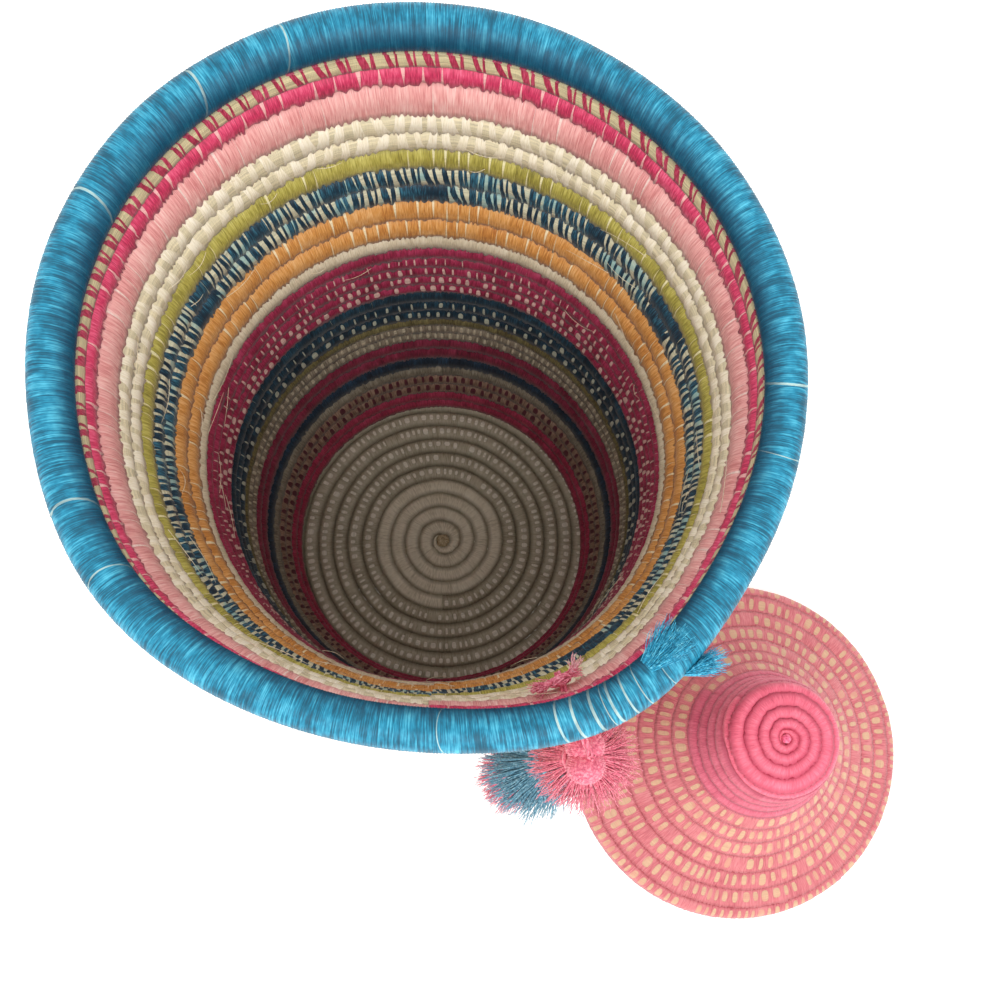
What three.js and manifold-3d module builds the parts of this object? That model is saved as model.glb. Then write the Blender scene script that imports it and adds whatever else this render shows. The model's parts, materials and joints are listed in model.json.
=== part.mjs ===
// Lidded coiled basket: one grass coil wound row on row, bound with dyed raffia.
// Millimetres, +Z up. The origin is the middle of the floor's underside, on the surface.
// The basket stands open, its lid stands beside it, and three raffia tassels hang under the hoop.

import * as THREE from 'three';
import { mergeVertices } from 'three/addons/utils/BufferGeometryUtils.js';
import Module from 'manifold-3d';

const wasm = await Module();
wasm.setup();

// Coil
const rowGap = 0.55; // between one row and the next, where the stitches pull them together
const seatGap = 0.3; // between pieces that touch
const flatHalf = 2.3; // half the width of the face where two rows meet
const stepsPerTurn = 20;
const smallStepsPerTurn = 16;
const stepUp = 0.15; // share of a turn, either side of the seam, in which a row climbs to the next
const taperLeft = 0.15; // share of a row's height that is left where the coil runs out
const fullRow = 6; // a row at least this tall has its full thickness
const thinLeft = 0.35; // share of its thickness that the coil keeps where it runs out

// Wall
const wallHeight = 273.39; // from the first row's foot to the ledge row
const wallHalf = 4; // half the thickness of the wall's coil
const footRadius = 93.3;
const kneeRadius = 103.5;
const bellyRadius = 105.2;
const waistRadius = 103.8;
const shoulderRadius = 108;
const mouthRadius = 112.1;
const lipRadius = 115.5; // the wall flares once more under the hoop
const wallSeam = -Math.PI / 2; // the side where the rows step up
// Where the mouth is pushed out of round: the angle round the basket, how wide and how far. The
// first is where the hoop is spliced.
const bulges = [
  [-62, 14, 6.8],
  [-140, 13, 2.6],
];
const bulgeFrom = 0.74; // share of the wall's height where they start
const bulgeFull = 0.99;

// Floor
const floorCoilHalf = 3.75;
const floorCut = 0.5; // how deep the underside is worn flat where the basket stands
const floorTurns = 10;
const naturalTurns = 4; // inner turns in undyed raffia
const startRadius = 4.2;

// Hoop and lid ledge
const hoopRadius = 117.6;
const hoopThick = 14;
const hoopRise = 10.8; // from the wall's top to the hoop's middle
const hoopSides = 8;
const hoopSteps = 40;
const ledgeRadius = 114.6; // the ledge row is squeezed in under the hoop
const ledgeHalf = 3.2;
const ledgeHeight = 7.2;
const ledgeClear = 0.9; // how far its corners keep off the hoop

// Lid
const lidX = 191.9;
const lidY = -135.2;
const lidLeanX = -0.02; // how far the knob leans, mm for each mm of height
const lidLeanY = 0.092;
const lidEdgeRadius = 105;
const lidHalf = 3.5;
const lidSeam = (3 * Math.PI) / 4;
const edgeTurnIn = 4.6; // how far in and up the lid's edge has curved where its brim begins
const edgeTurnUp = 7.2;
const brimTurnIn = 17;
const brimTurnUp = 11.6;
const knobTaper = 1.2; // how much narrower the knob is half way up its side
const crownRound = 4.8; // how much narrower it is where the crown begins
const edgeRow = 10.6;
const brimRow = 12.6;
const brimRows = 6;
const footRing = 8.4;
const knobRow = 9.2;
const knobRows = 3;
const crownTurns = 5;
const crownStartRadius = 2.4;
const neckRadius = 46.6; // where the brim sweeps up into the knob
const neckHeight = 45.7;
const knobFootRadius = 36.4;
const knobFootHeight = 63;
const knobRadius = 31.8;
const knobHeight = 79.5;
const crownHeight = 94.8;
const crownDrop = 1.6; // how much lower the crown is at its edge

// Tassels
const tieAzimuth = THREE.MathUtils.degToRad(-66.5);
const tieThick = 3;
const tieDrop = 5;
const tieSides = 8;
const tieKnotRadius = 4.6;
const tieProud = 1.5; // how far the tie comes out of the wall's inner face
const stringRadius = 1;
const stringKnotRadius = 1.6;
const stringLength = 5;
const headRadius = 7.4;
const headHeight = 15;
const lobeOffset = 3.4;
const lobeWidth = 0.85; // of the head's radius
const neckCoreRadius = 4.4;
const neckLength = 4;
const bindingThick = 3.6;
const skirtRadius = 25.5;
const skirtLength = 27;
const skirtClear = 3.2; // between a tassel's hem and the wall
const skirtLocks = 14;
const lockDepth = 2.2;
const hemShare = 0.8; // how far the hem rises between the locks, as a share of their depth
const tasselLeans = [[-1, -1], [-10, -8], [-5, -6]]; // how far each one's foot is off its top, in plan

// Frayed ends on the hoop: the angle round the basket and round the hoop's section at which each
// starts, and how far its root lies off the hoop's middle
const frayEnds = [
  ['hoop_fray_outer', -50, -4, 7.65],
  ['hoop_fray_inner', -53.5, 122, 8],
];
const frayLength = 13;
const frayRoot = 2;
const frayEnd = 5.6;
const frayFlat = 0.5; // its thickness, as a share of its width
const frayLift = 0.42; // how steeply it leaves the hoop
const frayLocks = 7;

// The wall's bands from the floor up: name, rows, height of a row, colour. The rows are stretched
// together to fill the wall's height.
const wallBands = [
  ['wall_foot_crimson', 2, 8.7, 0x8e2440],
  ['wall_brown_dotted', 2, 9.25, 0x6b3f3a],
  ['wall_taupe_line', 1, 8.9, 0x7d7064],
  ['wall_navy_line', 1, 10.3, 0x1d3346],
  ['wall_dark_crimson', 2, 10.8, 0x8b2038],
  ['wall_taupe_dotted', 2, 9, 0x8a7d6b],
  ['wall_olive', 1, 7.7, 0x6a6136],
  ['wall_navy_dotted', 3, 10.53, 0x123a4c],
  ['wall_crimson', 5, 8.44, 0xb0244c],
  ['wall_cream_line', 1, 8.2, 0xd8cfb4],
  ['wall_orange', 2, 10.65, 0xd9963f],
  ['wall_navy_straw', 2, 9.85, 0x1f5f78],
  ['wall_lime', 1, 10.3, 0xafa63a],
  ['wall_cream', 2, 8.6, 0xd8cfb4],
  ['wall_pink', 1, 12.9, 0xe88a97],
  ['wall_crimson_top', 1, 7.6, 0xc22e55],
];
const straw = 0xd9c48f;
const hoopBlue = 0x2a8fb4;
const tasselPink = 0xef6f8a;
const tasselBlue = 0x4a7f98;
const lidSalmon = 0xd9737a;
const knobPink = 0xf0648a;

const floorThick = 2 * floorCoilHalf - floorCut;
const wallBase = floorThick + seatGap;
const wallTop = wallBase + wallHeight;
const rowStretch = wallHeight / wallBands.reduce((sum, [, rows, height]) => sum + rows * height, 0);
wallBands.forEach((band) => { band[2] *= rowStretch; });
const floorRadius = footRadius + 3.7;
const hoopHeight = wallTop + hoopRise;

const part = new THREE.Group();

// How far the mouth is pushed out of round, at an angle round the basket and a height.
function outOfRound(angle, z) {
  const up = THREE.MathUtils.smoothstep((z - wallBase) / wallHeight, bulgeFrom, bulgeFull);
  return bulges.reduce((sum, [azimuth, spread, out]) => {
    const past = angle - THREE.MathUtils.degToRad(azimuth);
    const away = THREE.MathUtils.radToDeg(Math.atan2(Math.sin(past), Math.cos(past))) / spread;
    return sum + up * out * Math.exp((-away * away) / 2);
  }, 0);
}

function material(colour, roughness = 0.8) {
  return new THREE.MeshStandardMaterial({ color: colour, roughness, metalness: 0 });
}

// Turns a solid's faces outward if its points were joined the other way round.
function faceOutward(geometry) {
  const points = geometry.getAttribute('position');
  const index = geometry.getIndex().array;
  const [a, b, c] = [new THREE.Vector3(), new THREE.Vector3(), new THREE.Vector3()];
  let volume = 0;
  for (let i = 0; i < index.length; i += 3) {
    a.fromBufferAttribute(points, index[i]);
    b.fromBufferAttribute(points, index[i + 1]);
    c.fromBufferAttribute(points, index[i + 2]);
    volume += a.dot(b.cross(c));
  }
  if (volume < 0) index.reverse();
  return geometry;
}

function middleOf(ring) {
  return ring.reduce((sum, p) => sum.add(p), new THREE.Vector3()).divideScalar(ring.length);
}

// Joins rings of points, each with as many points, into a closed solid. Its ends fan out from
// the middle of the first and last ring.
function skin(rings) {
  const sides = rings[0].length;
  const ends = [middleOf(rings[0]), middleOf(rings[rings.length - 1])];
  const positions = [...rings.flat(), ...ends].flatMap((p) => [p.x, p.y, p.z]);
  const index = [];
  for (let i = 0; i + 1 < rings.length; i += 1) {
    for (let j = 0; j < sides; j += 1) {
      const [a, b] = [i * sides + j, i * sides + ((j + 1) % sides)];
      index.push(a, b, b + sides, a, b + sides, a + sides);
    }
  }
  const last = (rings.length - 1) * sides;
  const firstMiddle = rings.length * sides;
  for (let j = 0; j < sides; j += 1) {
    const next = (j + 1) % sides;
    index.push(firstMiddle, next, j, firstMiddle + 1, last + j, last + next);
  }
  const geometry = new THREE.BufferGeometry();
  geometry.setAttribute('position', new THREE.Float32BufferAttribute(positions, 3));
  geometry.setIndex(index);
  return faceOutward(geometry);
}

function bare(geometry) {
  const copy = geometry.clone();
  copy.deleteAttribute('normal');
  copy.deleteAttribute('uv');
  return mergeVertices(copy, 1e-4);
}

function toManifold(geometry) {
  const merged = bare(geometry);
  return new wasm.Manifold(new wasm.Mesh({
    numProp: 3,
    vertProperties: new Float32Array(merged.getAttribute('position').array),
    triVerts: new Uint32Array(merged.getIndex().array),
  }));
}

function fromManifold(solid) {
  const mesh = solid.getMesh();
  const geometry = new THREE.BufferGeometry();
  geometry.setAttribute('position', new THREE.Float32BufferAttribute(mesh.vertProperties, 3));
  geometry.setIndex([...mesh.triVerts]);
  return geometry;
}

function add(parent, name, geometry, colour, roughness) {
  const mesh = new THREE.Mesh(geometry, material(colour, roughness));
  mesh.name = name;
  parent.add(mesh);
  return mesh;
}

// A slope-matched curve through [share, radius] stations, for a wall's radius by height.
function radiusThrough(stations, share) {
  const last = stations.length - 1;
  const slopeAt = (i) => {
    const [before, after] = [stations[Math.max(i - 1, 0)], stations[Math.min(i + 1, last)]];
    return (after[1] - before[1]) / (after[0] - before[0]);
  };
  let i = 0;
  while (i < last - 1 && share > stations[i + 1][0]) i += 1;
  const [[fromShare, fromRadius], [toShare, toRadius]] = [stations[i], stations[i + 1]];
  const span = toShare - fromShare;
  const u = THREE.MathUtils.clamp((share - fromShare) / span, 0, 1);
  const [u2, u3] = [u * u, u * u * u];
  return (2 * u3 - 3 * u2 + 1) * fromRadius + (u3 - 2 * u2 + u) * span * slopeAt(i)
    + (3 * u2 - 2 * u3) * toRadius + (u3 - u2) * span * slopeAt(i + 1);
}

// A track gives the point in the middle of the coil and the way its outer face looks, at a level.
const wallStations = [
  [0, footRadius],
  [0.202, kneeRadius],
  [0.324, bellyRadius],
  [0.647, waistRadius],
  [0.758, shoulderRadius],
  [0.93, mouthRadius],
  [1, lipRadius],
];
function wallTrack(level) {
  const radiusAt = (height) => radiusThrough(wallStations, (height - wallBase) / wallHeight);
  const rise = 1;
  const slope = (radiusAt(level + rise) - radiusAt(level - rise)) / (2 * rise);
  const length = Math.hypot(1, slope);
  return { r: radiusAt(level), z: level, nr: 1 / length, nz: -slope / length };
}

function floorTrack(level) {
  return { r: level, z: floorThick - floorCoilHalf, nr: 0, nz: 1 };
}

function ledgeTrack(level) {
  return { r: ledgeRadius, z: level, nr: 1, nz: 0 };
}

// Keeps a point of the ledge row off the hoop above it.
function underHoop([r, z]) {
  const [across, down] = [r - hoopRadius, z - hoopHeight];
  const keep = hoopThick / 2 + ledgeClear;
  const stretch = Math.max(1, keep / Math.hypot(across, down));
  return [hoopRadius + across * stretch, hoopHeight + down * stretch];
}

// The lid's outline, from its edge on the surface, up the brim and the knob, to the crown's middle.
const lidPath = new THREE.Path();
lidPath.moveTo(lidEdgeRadius, 0);
lidPath.lineTo(lidEdgeRadius, 1);
lidPath.splineThru([
  new THREE.Vector2(lidEdgeRadius - edgeTurnIn, edgeTurnUp),
  new THREE.Vector2(lidEdgeRadius - brimTurnIn, brimTurnUp),
  new THREE.Vector2(THREE.MathUtils.lerp(neckRadius, lidEdgeRadius, 0.33), neckHeight * 0.55),
  new THREE.Vector2(neckRadius, neckHeight),
  new THREE.Vector2(knobFootRadius, knobFootHeight),
  new THREE.Vector2(knobRadius, knobHeight),
  new THREE.Vector2(knobRadius - knobTaper, THREE.MathUtils.lerp(knobHeight, crownHeight, 0.5)),
  new THREE.Vector2(knobRadius - crownRound, crownHeight - 2 * crownDrop),
  new THREE.Vector2(knobRadius * 0.5, crownHeight - 0.3 * crownDrop),
  new THREE.Vector2(0, crownHeight),
]);
const lidLength = lidPath.getLength();
function lidTrack(level) {
  const share = THREE.MathUtils.clamp(level / lidLength, 0, 1);
  const point = lidPath.getPoint(share);
  const along = lidPath.getTangent(share);
  return { r: point.x, z: point.y, nr: along.y, nz: -along.x };
}

// The level of the boundary under a coil at a turn. It stays on one of the levels for most of a
// turn and climbs to the next around the seam, within the share of a turn that climbs gives.
function boundary(levels, climbs, turn) {
  const k = Math.round(turn);
  const clamped = (i) => levels[THREE.MathUtils.clamp(i, 0, levels.length - 1)];
  const climb = climbs(k);
  const rise = THREE.MathUtils.clamp((turn - k + climb) / (2 * climb), 0, 1);
  return THREE.MathUtils.lerp(clamped(k - 1), clamped(k), rise);
}

// The six or seven points across a coil, from the boundary below to the one above.
function coilSection(coil, turn, lowGap, highGap) {
  const low = boundary(coil.levels, coil.climbs, turn) + lowGap;
  const high = boundary(coil.levels, coil.climbs, turn + 1) - highGap;
  const angle = coil.seam + 2 * Math.PI * turn;
  const plump = coil.cut ? 1 : THREE.MathUtils.clamp((high - low) / fullRow, thinLeft, 1);
  const fit = coil.fit ?? ((point) => point);
  const place = (level, offset) => {
    const at = coil.track(level);
    const [r, z] = fit([at.r + at.nr * offset, at.z + at.nz * offset]);
    const reach = r + (coil.round ? 0 : outOfRound(angle, z));
    return new THREE.Vector3(reach * Math.cos(angle), reach * Math.sin(angle), z);
  };
  const middle = (low + high) / 2;
  const [flat, crest] = [coil.flat * plump, coil.half * plump];
  const upper = [place(high, -flat), place(high, flat), place(middle, crest), place(low, flat), place(low, -flat)];
  if (!coil.cut) return [...upper, place(middle, -crest)];
  const reach = (coil.cut / (coil.half - coil.flat)) * (high - low) * 0.5;
  const cutAt = coil.cut - coil.half;
  return [...upper, place(middle - reach, cutAt), place(middle + reach, cutAt)];
}

// One stretch of the coil, from one turn to another, as a closed solid.
function coilStretch(coil, from, to) {
  const steps = coil.steps;
  const turns = [];
  for (let i = Math.floor(from * steps) + 1; i < to * steps - 1e-6; i += 1) {
    if (i / steps > from + 0.2 / steps) turns.push(i / steps);
  }
  const radiusOf = (turn) => coil.track(boundary(coil.levels, coil.climbs, turn + 0.5)).r;
  const shift = (turn, cutEnd) => (cutEnd ? seatGap / (4 * Math.PI * Math.max(radiusOf(turn), 1)) : 0);
  const first = from + shift(from, from > 0);
  const last = to - shift(to, to < coil.levels.length - 1);
  return skin([first, ...turns, last].map((turn) => coilSection(coil, turn, rowGap / 2, rowGap / 2)));
}

// The least distance between the rows of a coil, measured from the points of one to the next.
function leastGap(coil, turnsInAll) {
  let least = Infinity;
  for (let turn = 0.5; turn + 1 < turnsInAll; turn += 1 / coil.steps) {
    const [below, above] = [0, 1].map((up) => coilSection(coil, turn + up, rowGap / 2, rowGap / 2));
    below.forEach((p) => above.forEach((q) => { least = Math.min(least, p.distanceTo(q)); }));
  }
  return least;
}

// Heights or lengths of rows, one after another, as the levels between them.
function stack(start, rows) {
  const levels = [start];
  rows.forEach((row) => levels.push(levels[levels.length - 1] + row));
  return levels;
}

const evenClimb = () => stepUp;
const spiralClimb = () => 0.5;
const runOut = 2 * stepUp * taperLeft;

// Wall: the rows are level and step up at the seam, and each colour is its own stretch.
const wallCoil = {
  track: wallTrack,
  levels: stack(wallBase - rowGap / 2, wallBands.flatMap(([, rows, height]) => Array(rows).fill(height))),
  climbs: evenClimb,
  seam: wallSeam,
  steps: stepsPerTurn,
  half: wallHalf,
  flat: flatHalf,
};

// Tassel tie: from a knot inside, through the second row under the hoop, out to the first tassel.
const tieLevel = wallTop - wallBands[wallBands.length - 1][2] - wallBands[wallBands.length - 2][2] / 2;
const radial = new THREE.Vector3(Math.cos(tieAzimuth), Math.sin(tieAzimuth), 0);
const outFromAxis = (distance, height) => radial.clone().multiplyScalar(distance).setZ(height);
const wallByTie = wallTrack(tieLevel).r + outOfRound(tieAzimuth, tieLevel);
const wallOuter = wallByTie + wallHalf;
const wallInner = wallByTie - wallHalf;

// The string reaches down between a tassel's two lobes, and the tie holds its hem off the wall.
const lobeShare = (lobeOffset - stringRadius) / (lobeWidth * headRadius);
const stringEnd = stringLength + (headHeight / 2) * (1 - Math.sqrt(1 - lobeShare ** 2));
const hemLift = lockDepth * hemShare;
const tasselLength = stringLength + headHeight + neckLength + skirtLength + 3 * seatGap + stringKnotRadius - hemLift / 2;
const hemLevel = tieLevel - tieDrop - tasselLength;
const wallByHem = wallTrack(hemLevel).r + wallHalf;
const tieReach = wallByHem + skirtClear + skirtRadius - wallOuter - stringKnotRadius - seatGap;
const tieEnd = outFromAxis(wallOuter + tieReach, tieLevel - tieDrop);

function tube(points, radius, sides, steps) {
  const circle = new THREE.Shape();
  for (let i = 0; i <= sides; i += 1) {
    const angle = (2 * Math.PI * (i + 0.5)) / sides;
    const [x, y] = [radius * Math.cos(angle), radius * Math.sin(angle)];
    if (i === 0) circle.moveTo(x, y);
    else if (i < sides) circle.lineTo(x, y);
  }
  circle.closePath();
  const path = new THREE.CatmullRomCurve3(points);
  return new THREE.ExtrudeGeometry(circle, { steps, bevelEnabled: false, extrudePath: path });
}

const tieHole = tube(
  [outFromAxis(wallInner - 8, tieLevel), outFromAxis(wallOuter + 8, tieLevel)],
  tieThick / 2 + seatGap + 0.1,
  tieSides,
  1,
);

let turn = 0;
const wallTurns = wallCoil.levels.length - 1;
wallBands.forEach(([name, rows, , colour]) => {
  const from = turn === 0 ? -stepUp + runOut : turn;
  const to = turn + rows === wallTurns ? wallTurns + stepUp - runOut : turn + rows;
  let geometry = coilStretch(wallCoil, from, to);
  if (name === 'wall_pink') {
    geometry = fromManifold(toManifold(geometry).subtract(toManifold(tieHole)));
  }
  add(part, name, geometry, colour);
  turn += rows;
});
console.log('wall rows', wallTurns, 'least gap between rows', leastGap(wallCoil, wallTurns).toFixed(3));

// Floor: a flat spiral round a tight start, worn flat underneath.
const floorRoom = floorRadius - startRadius - seatGap;
const floorCoil = {
  track: floorTrack,
  levels: stack(startRadius + seatGap - rowGap / 2, Array(floorTurns).fill(floorRoom / floorTurns)),
  climbs: spiralClimb,
  seam: wallSeam,
  steps: stepsPerTurn,
  half: floorCoilHalf,
  flat: flatHalf,
  cut: floorCut,
};
const floorFrom = -0.5 + taperLeft;
const floorTo = floorTurns + 0.5 - taperLeft;
add(part, 'floor_natural_turns', coilStretch(floorCoil, floorFrom, naturalTurns), straw);
add(part, 'floor_olive_turns', coilStretch(floorCoil, naturalTurns, floorTo), 0x7a7058);
console.log('floor turns', floorTurns, 'least gap', leastGap(floorCoil, floorTurns).toFixed(3));

// A round button with rounded rims, for the tight start of a spiral.
function startButton(radius, bottom, top) {
  const bulge = radius * 0.25;
  const outline = [
    new THREE.Vector2(0, bottom),
    new THREE.Vector2(radius - bulge, bottom),
    new THREE.Vector2(radius, (bottom + top) / 2),
    new THREE.Vector2(radius - bulge, top),
    new THREE.Vector2(0, top),
  ];
  const lathe = new THREE.LatheGeometry(outline, smallStepsPerTurn);
  lathe.rotateX(Math.PI / 2);
  return faceOutward(bare(lathe));
}
add(part, 'floor_start', startButton(startRadius, 0, floorThick), straw);

// Hoop: it closes over the wall and is pushed out of round with it.
function pushOut(geometry) {
  const points = geometry.getAttribute('position');
  for (let i = 0; i < points.count; i += 1) {
    const [x, y, z] = [points.getX(i), points.getY(i), points.getZ(i)];
    const stretch = 1 + outOfRound(Math.atan2(y, x), hoopHeight) / Math.hypot(x, y);
    points.setXYZ(i, x * stretch, y * stretch, z);
  }
  return geometry;
}
const hoop = new THREE.TorusGeometry(hoopRadius, hoopThick / 2, hoopSides, hoopSteps);
hoop.translate(0, 0, hoopHeight);
add(part, 'hoop', pushOut(bare(hoop)), hoopBlue, 0.35);

// Ledge: the topmost row, in straw, squeezed between the wall and the hoop.
const ledgeCoil = {
  track: ledgeTrack,
  levels: stack(wallTop - rowGap / 2, [ledgeHeight]),
  climbs: evenClimb,
  fit: underHoop,
  seam: wallSeam,
  steps: stepsPerTurn,
  half: ledgeHalf,
  flat: ledgeHalf * 0.75,
};
add(part, 'lid_ledge', coilStretch(ledgeCoil, -stepUp + runOut, 1 + stepUp - runOut), straw);

// A bundle of raffia that flares from a round root to a ragged, fluted end, along -Z from the origin.
function flaredLocks({ root, end, length, locks, depth, neck }) {
  const points = 2 * locks;
  const stations = [[0, root, 0], [neck, root, 0], [neck + (length - neck) * 0.3, root + (end - root) * 0.5, 0.4],
    [neck + (length - neck) * 0.7, root + (end - root) * 0.87, 0.8], [length, end, 1]];
  const rings = stations.filter(([drop], i) => i === 0 || drop > stations[i - 1][0]).map(([drop, radius, ragged]) => (
    Array.from({ length: points }, (_, j) => {
      const lock = j % 2 ? 1 : 0;
      const angle = (2 * Math.PI * j) / points;
      const r = radius - lock * depth * ragged;
      const hem = ragged === 1 ? lock * depth * hemShare : 0;
      return new THREE.Vector3(r * Math.cos(angle), r * Math.sin(angle), hem - drop);
    })));
  return skin(rings);
}

function latheSolid(outline, steps) {
  const lathe = new THREE.LatheGeometry(outline.map(([r, z]) => new THREE.Vector2(r, z)), steps);
  lathe.rotateX(Math.PI / 2);
  return faceOutward(bare(lathe));
}

// A tassel hangs along -Z from the middle of its string's knot.
function tassel(parent, name, colour, top, lean) {
  const group = new THREE.Group();
  const down = new THREE.Vector3(lean[0], lean[1], -tasselLength).normalize();
  group.position.copy(top);
  group.quaternion.setFromUnitVectors(new THREE.Vector3(0, 0, -1), down);
  parent.add(group);

  const k = stringKnotRadius;
  const string = latheSolid([
    [0, k], [k * 0.7, k * 0.7], [k, 0], [k * 0.7, -k * 0.7],
    [stringRadius, -k], [stringRadius, -stringEnd], [0, -stringEnd],
  ], 8);
  add(group, `${name}_string`, string, colour);

  const headTop = -stringLength - seatGap;
  const lobes = [-1, 1].map((side) => {
    const lobe = new THREE.SphereGeometry(headRadius, 10, 6);
    lobe.rotateX(Math.PI / 2);
    lobe.scale(lobeWidth, 1, headHeight / 2 / headRadius);
    lobe.translate(side * lobeOffset, 0, headTop - headHeight / 2);
    return toManifold(lobe);
  });
  add(group, `${name}_head`, fromManifold(lobes[0].add(lobes[1])), colour);

  const neckTop = headTop - headHeight - seatGap;
  const binding = new THREE.TorusGeometry(neckCoreRadius + seatGap + bindingThick / 2, bindingThick / 2, 6, 12);
  binding.translate(0, 0, neckTop - neckLength / 2);
  add(group, `${name}_binding`, bare(binding), colour);

  const skirt = flaredLocks({
    root: neckCoreRadius,
    end: skirtRadius,
    length: neckLength + skirtLength,
    locks: skirtLocks,
    depth: lockDepth,
    neck: neckLength,
  });
  skirt.translate(0, 0, neckTop);
  add(group, `${name}_skirt`, skirt, colour);
  return top.clone().addScaledVector(down, tasselLength);
}

const tasselColours = [tasselPink, tasselBlue, tasselPink];
let pivot = tieEnd.clone().addScaledVector(radial, stringKnotRadius + seatGap);
tasselColours.forEach((colour, i) => {
  console.log(`tassel ${i + 1} pivot`, pivot.toArray().map((v) => v.toFixed(2)).join(' '));
  pivot = tassel(part, `tassel_${i + 1}`, colour, pivot, tasselLeans[i]);
});

const tie = tube(
  [
    outFromAxis(wallInner - tieProud, tieLevel),
    outFromAxis(wallOuter + 1, tieLevel),
    outFromAxis(wallOuter + tieReach * 0.5, tieLevel - tieDrop * 0.4),
    tieEnd,
  ],
  tieThick / 2,
  tieSides,
  8,
);
add(part, 'tassel_tie', faceOutward(bare(tie)), tasselPink);

const tieKnot = new THREE.SphereGeometry(tieKnotRadius, 8, 6);
tieKnot.scale(1, 0.8, 1);
tieKnot.rotateZ(tieAzimuth);
tieKnot.translate(...outFromAxis(wallInner - tieProud - seatGap - tieKnotRadius, tieLevel).toArray());
add(part, 'tie_knot', bare(tieKnot), tasselPink);

// Frayed ends of the hoop's wrapping: flat tufts that run along the hoop and lift off it.
const fray = { root: frayRoot, end: frayEnd, length: frayLength, locks: frayLocks, depth: 1.3, neck: 0 };
frayEnds.forEach(([name, azimuth, roundHoop, rootOff]) => {
  const angle = THREE.MathUtils.degToRad(azimuth);
  const tilt = THREE.MathUtils.degToRad(roundHoop);
  const out = new THREE.Vector3(Math.cos(angle), Math.sin(angle), 0);
  const along = new THREE.Vector3(-out.y, out.x, 0);
  const off = out.clone().multiplyScalar(Math.cos(tilt)).setZ(Math.sin(tilt));
  const facing = along.clone().addScaledVector(off, frayLift).normalize();
  const side = new THREE.Vector3().crossVectors(off, facing).normalize();
  const flatSide = new THREE.Vector3().crossVectors(side, facing);
  const geometry = flaredLocks(fray);
  geometry.scale(frayFlat, 1, 1);
  geometry.applyMatrix4(new THREE.Matrix4().makeBasis(flatSide, side, facing.clone().negate()));
  const root = out.clone().multiplyScalar(hoopRadius + outOfRound(angle, hoopHeight)).setZ(hoopHeight);
  root.addScaledVector(off, rootOff);
  geometry.translate(...root.toArray());
  add(part, name, faceOutward(geometry), hoopBlue);
});

// Lid: level rows from its edge up to the top of the knob, then a spiral to the middle of the crown.
const crownEdge = edgeRow + brimRows * brimRow + footRing + knobRows * knobRow;
const crownShares = [0.155, 0.27, 0.23, 0.19, 0.155];
const crownRoom = lidLength - crownEdge - crownStartRadius - seatGap + rowGap / 2;
const lidRows = [edgeRow, ...Array(brimRows).fill(brimRow), footRing, ...Array(knobRows).fill(knobRow)];
const lidCoil = {
  track: lidTrack,
  levels: stack(-rowGap / 2, [...lidRows, ...crownShares.map((share) => share * crownRoom)]),
  climbs: (k) => (k > lidRows.length ? 0.5 : stepUp),
  round: true,
  seam: lidSeam,
  steps: stepsPerTurn,
  half: lidHalf,
  flat: flatHalf,
};
const crownCoil = { ...lidCoil, steps: smallStepsPerTurn };
const crownFrom = lidRows.length;
const crownTo = crownFrom + crownTurns + 0.5 - taperLeft;
const lid = new THREE.Group();
lid.position.set(lidX, lidY, 0);
part.add(lid);

// The knob leans a little, so each point moves sideways with its height.
function lean(geometry) {
  const points = geometry.getAttribute('position');
  for (let i = 0; i < points.count; i += 1) {
    const z = points.getZ(i);
    points.setXY(i, points.getX(i) + lidLeanX * z, points.getY(i) + lidLeanY * z);
  }
  return geometry;
}

const outerRows = 1 + brimRows / 2;
[
  ['lid_edge', -stepUp + runOut, 1, lidCoil, lidSalmon],
  ['lid_brim_outer', 1, outerRows, lidCoil, lidSalmon],
  ['lid_brim_inner', outerRows, 1 + brimRows, lidCoil, lidSalmon],
  ['lid_knob_foot', 1 + brimRows, 2 + brimRows, lidCoil, knobPink],
  ['lid_knob_side', 2 + brimRows, crownFrom, lidCoil, knobPink],
  ['lid_crown', crownFrom, crownTo, crownCoil, knobPink],
].forEach(([name, from, to, coil, colour]) => {
  add(lid, name, lean(coilStretch(coil, from, to)), colour);
});
add(lid, 'lid_crown_start', lean(startButton(crownStartRadius, crownHeight - lidHalf, crownHeight + lidHalf)), knobPink);
console.log('lid rows', lidRows.length + crownTurns, 'least gap', leastGap(lidCoil, crownFrom).toFixed(3));

let triangles = 0;
part.traverse((piece) => {
  if (piece.isMesh) triangles += (piece.geometry.getIndex() ?? piece.geometry.getAttribute('position')).count / 3;
});
console.log('triangles', triangles, 'hoop height', hoopHeight.toFixed(2), 'wall top', wallTop.toFixed(2));

export default part;
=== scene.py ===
import json
import math
from functools import partial

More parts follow.
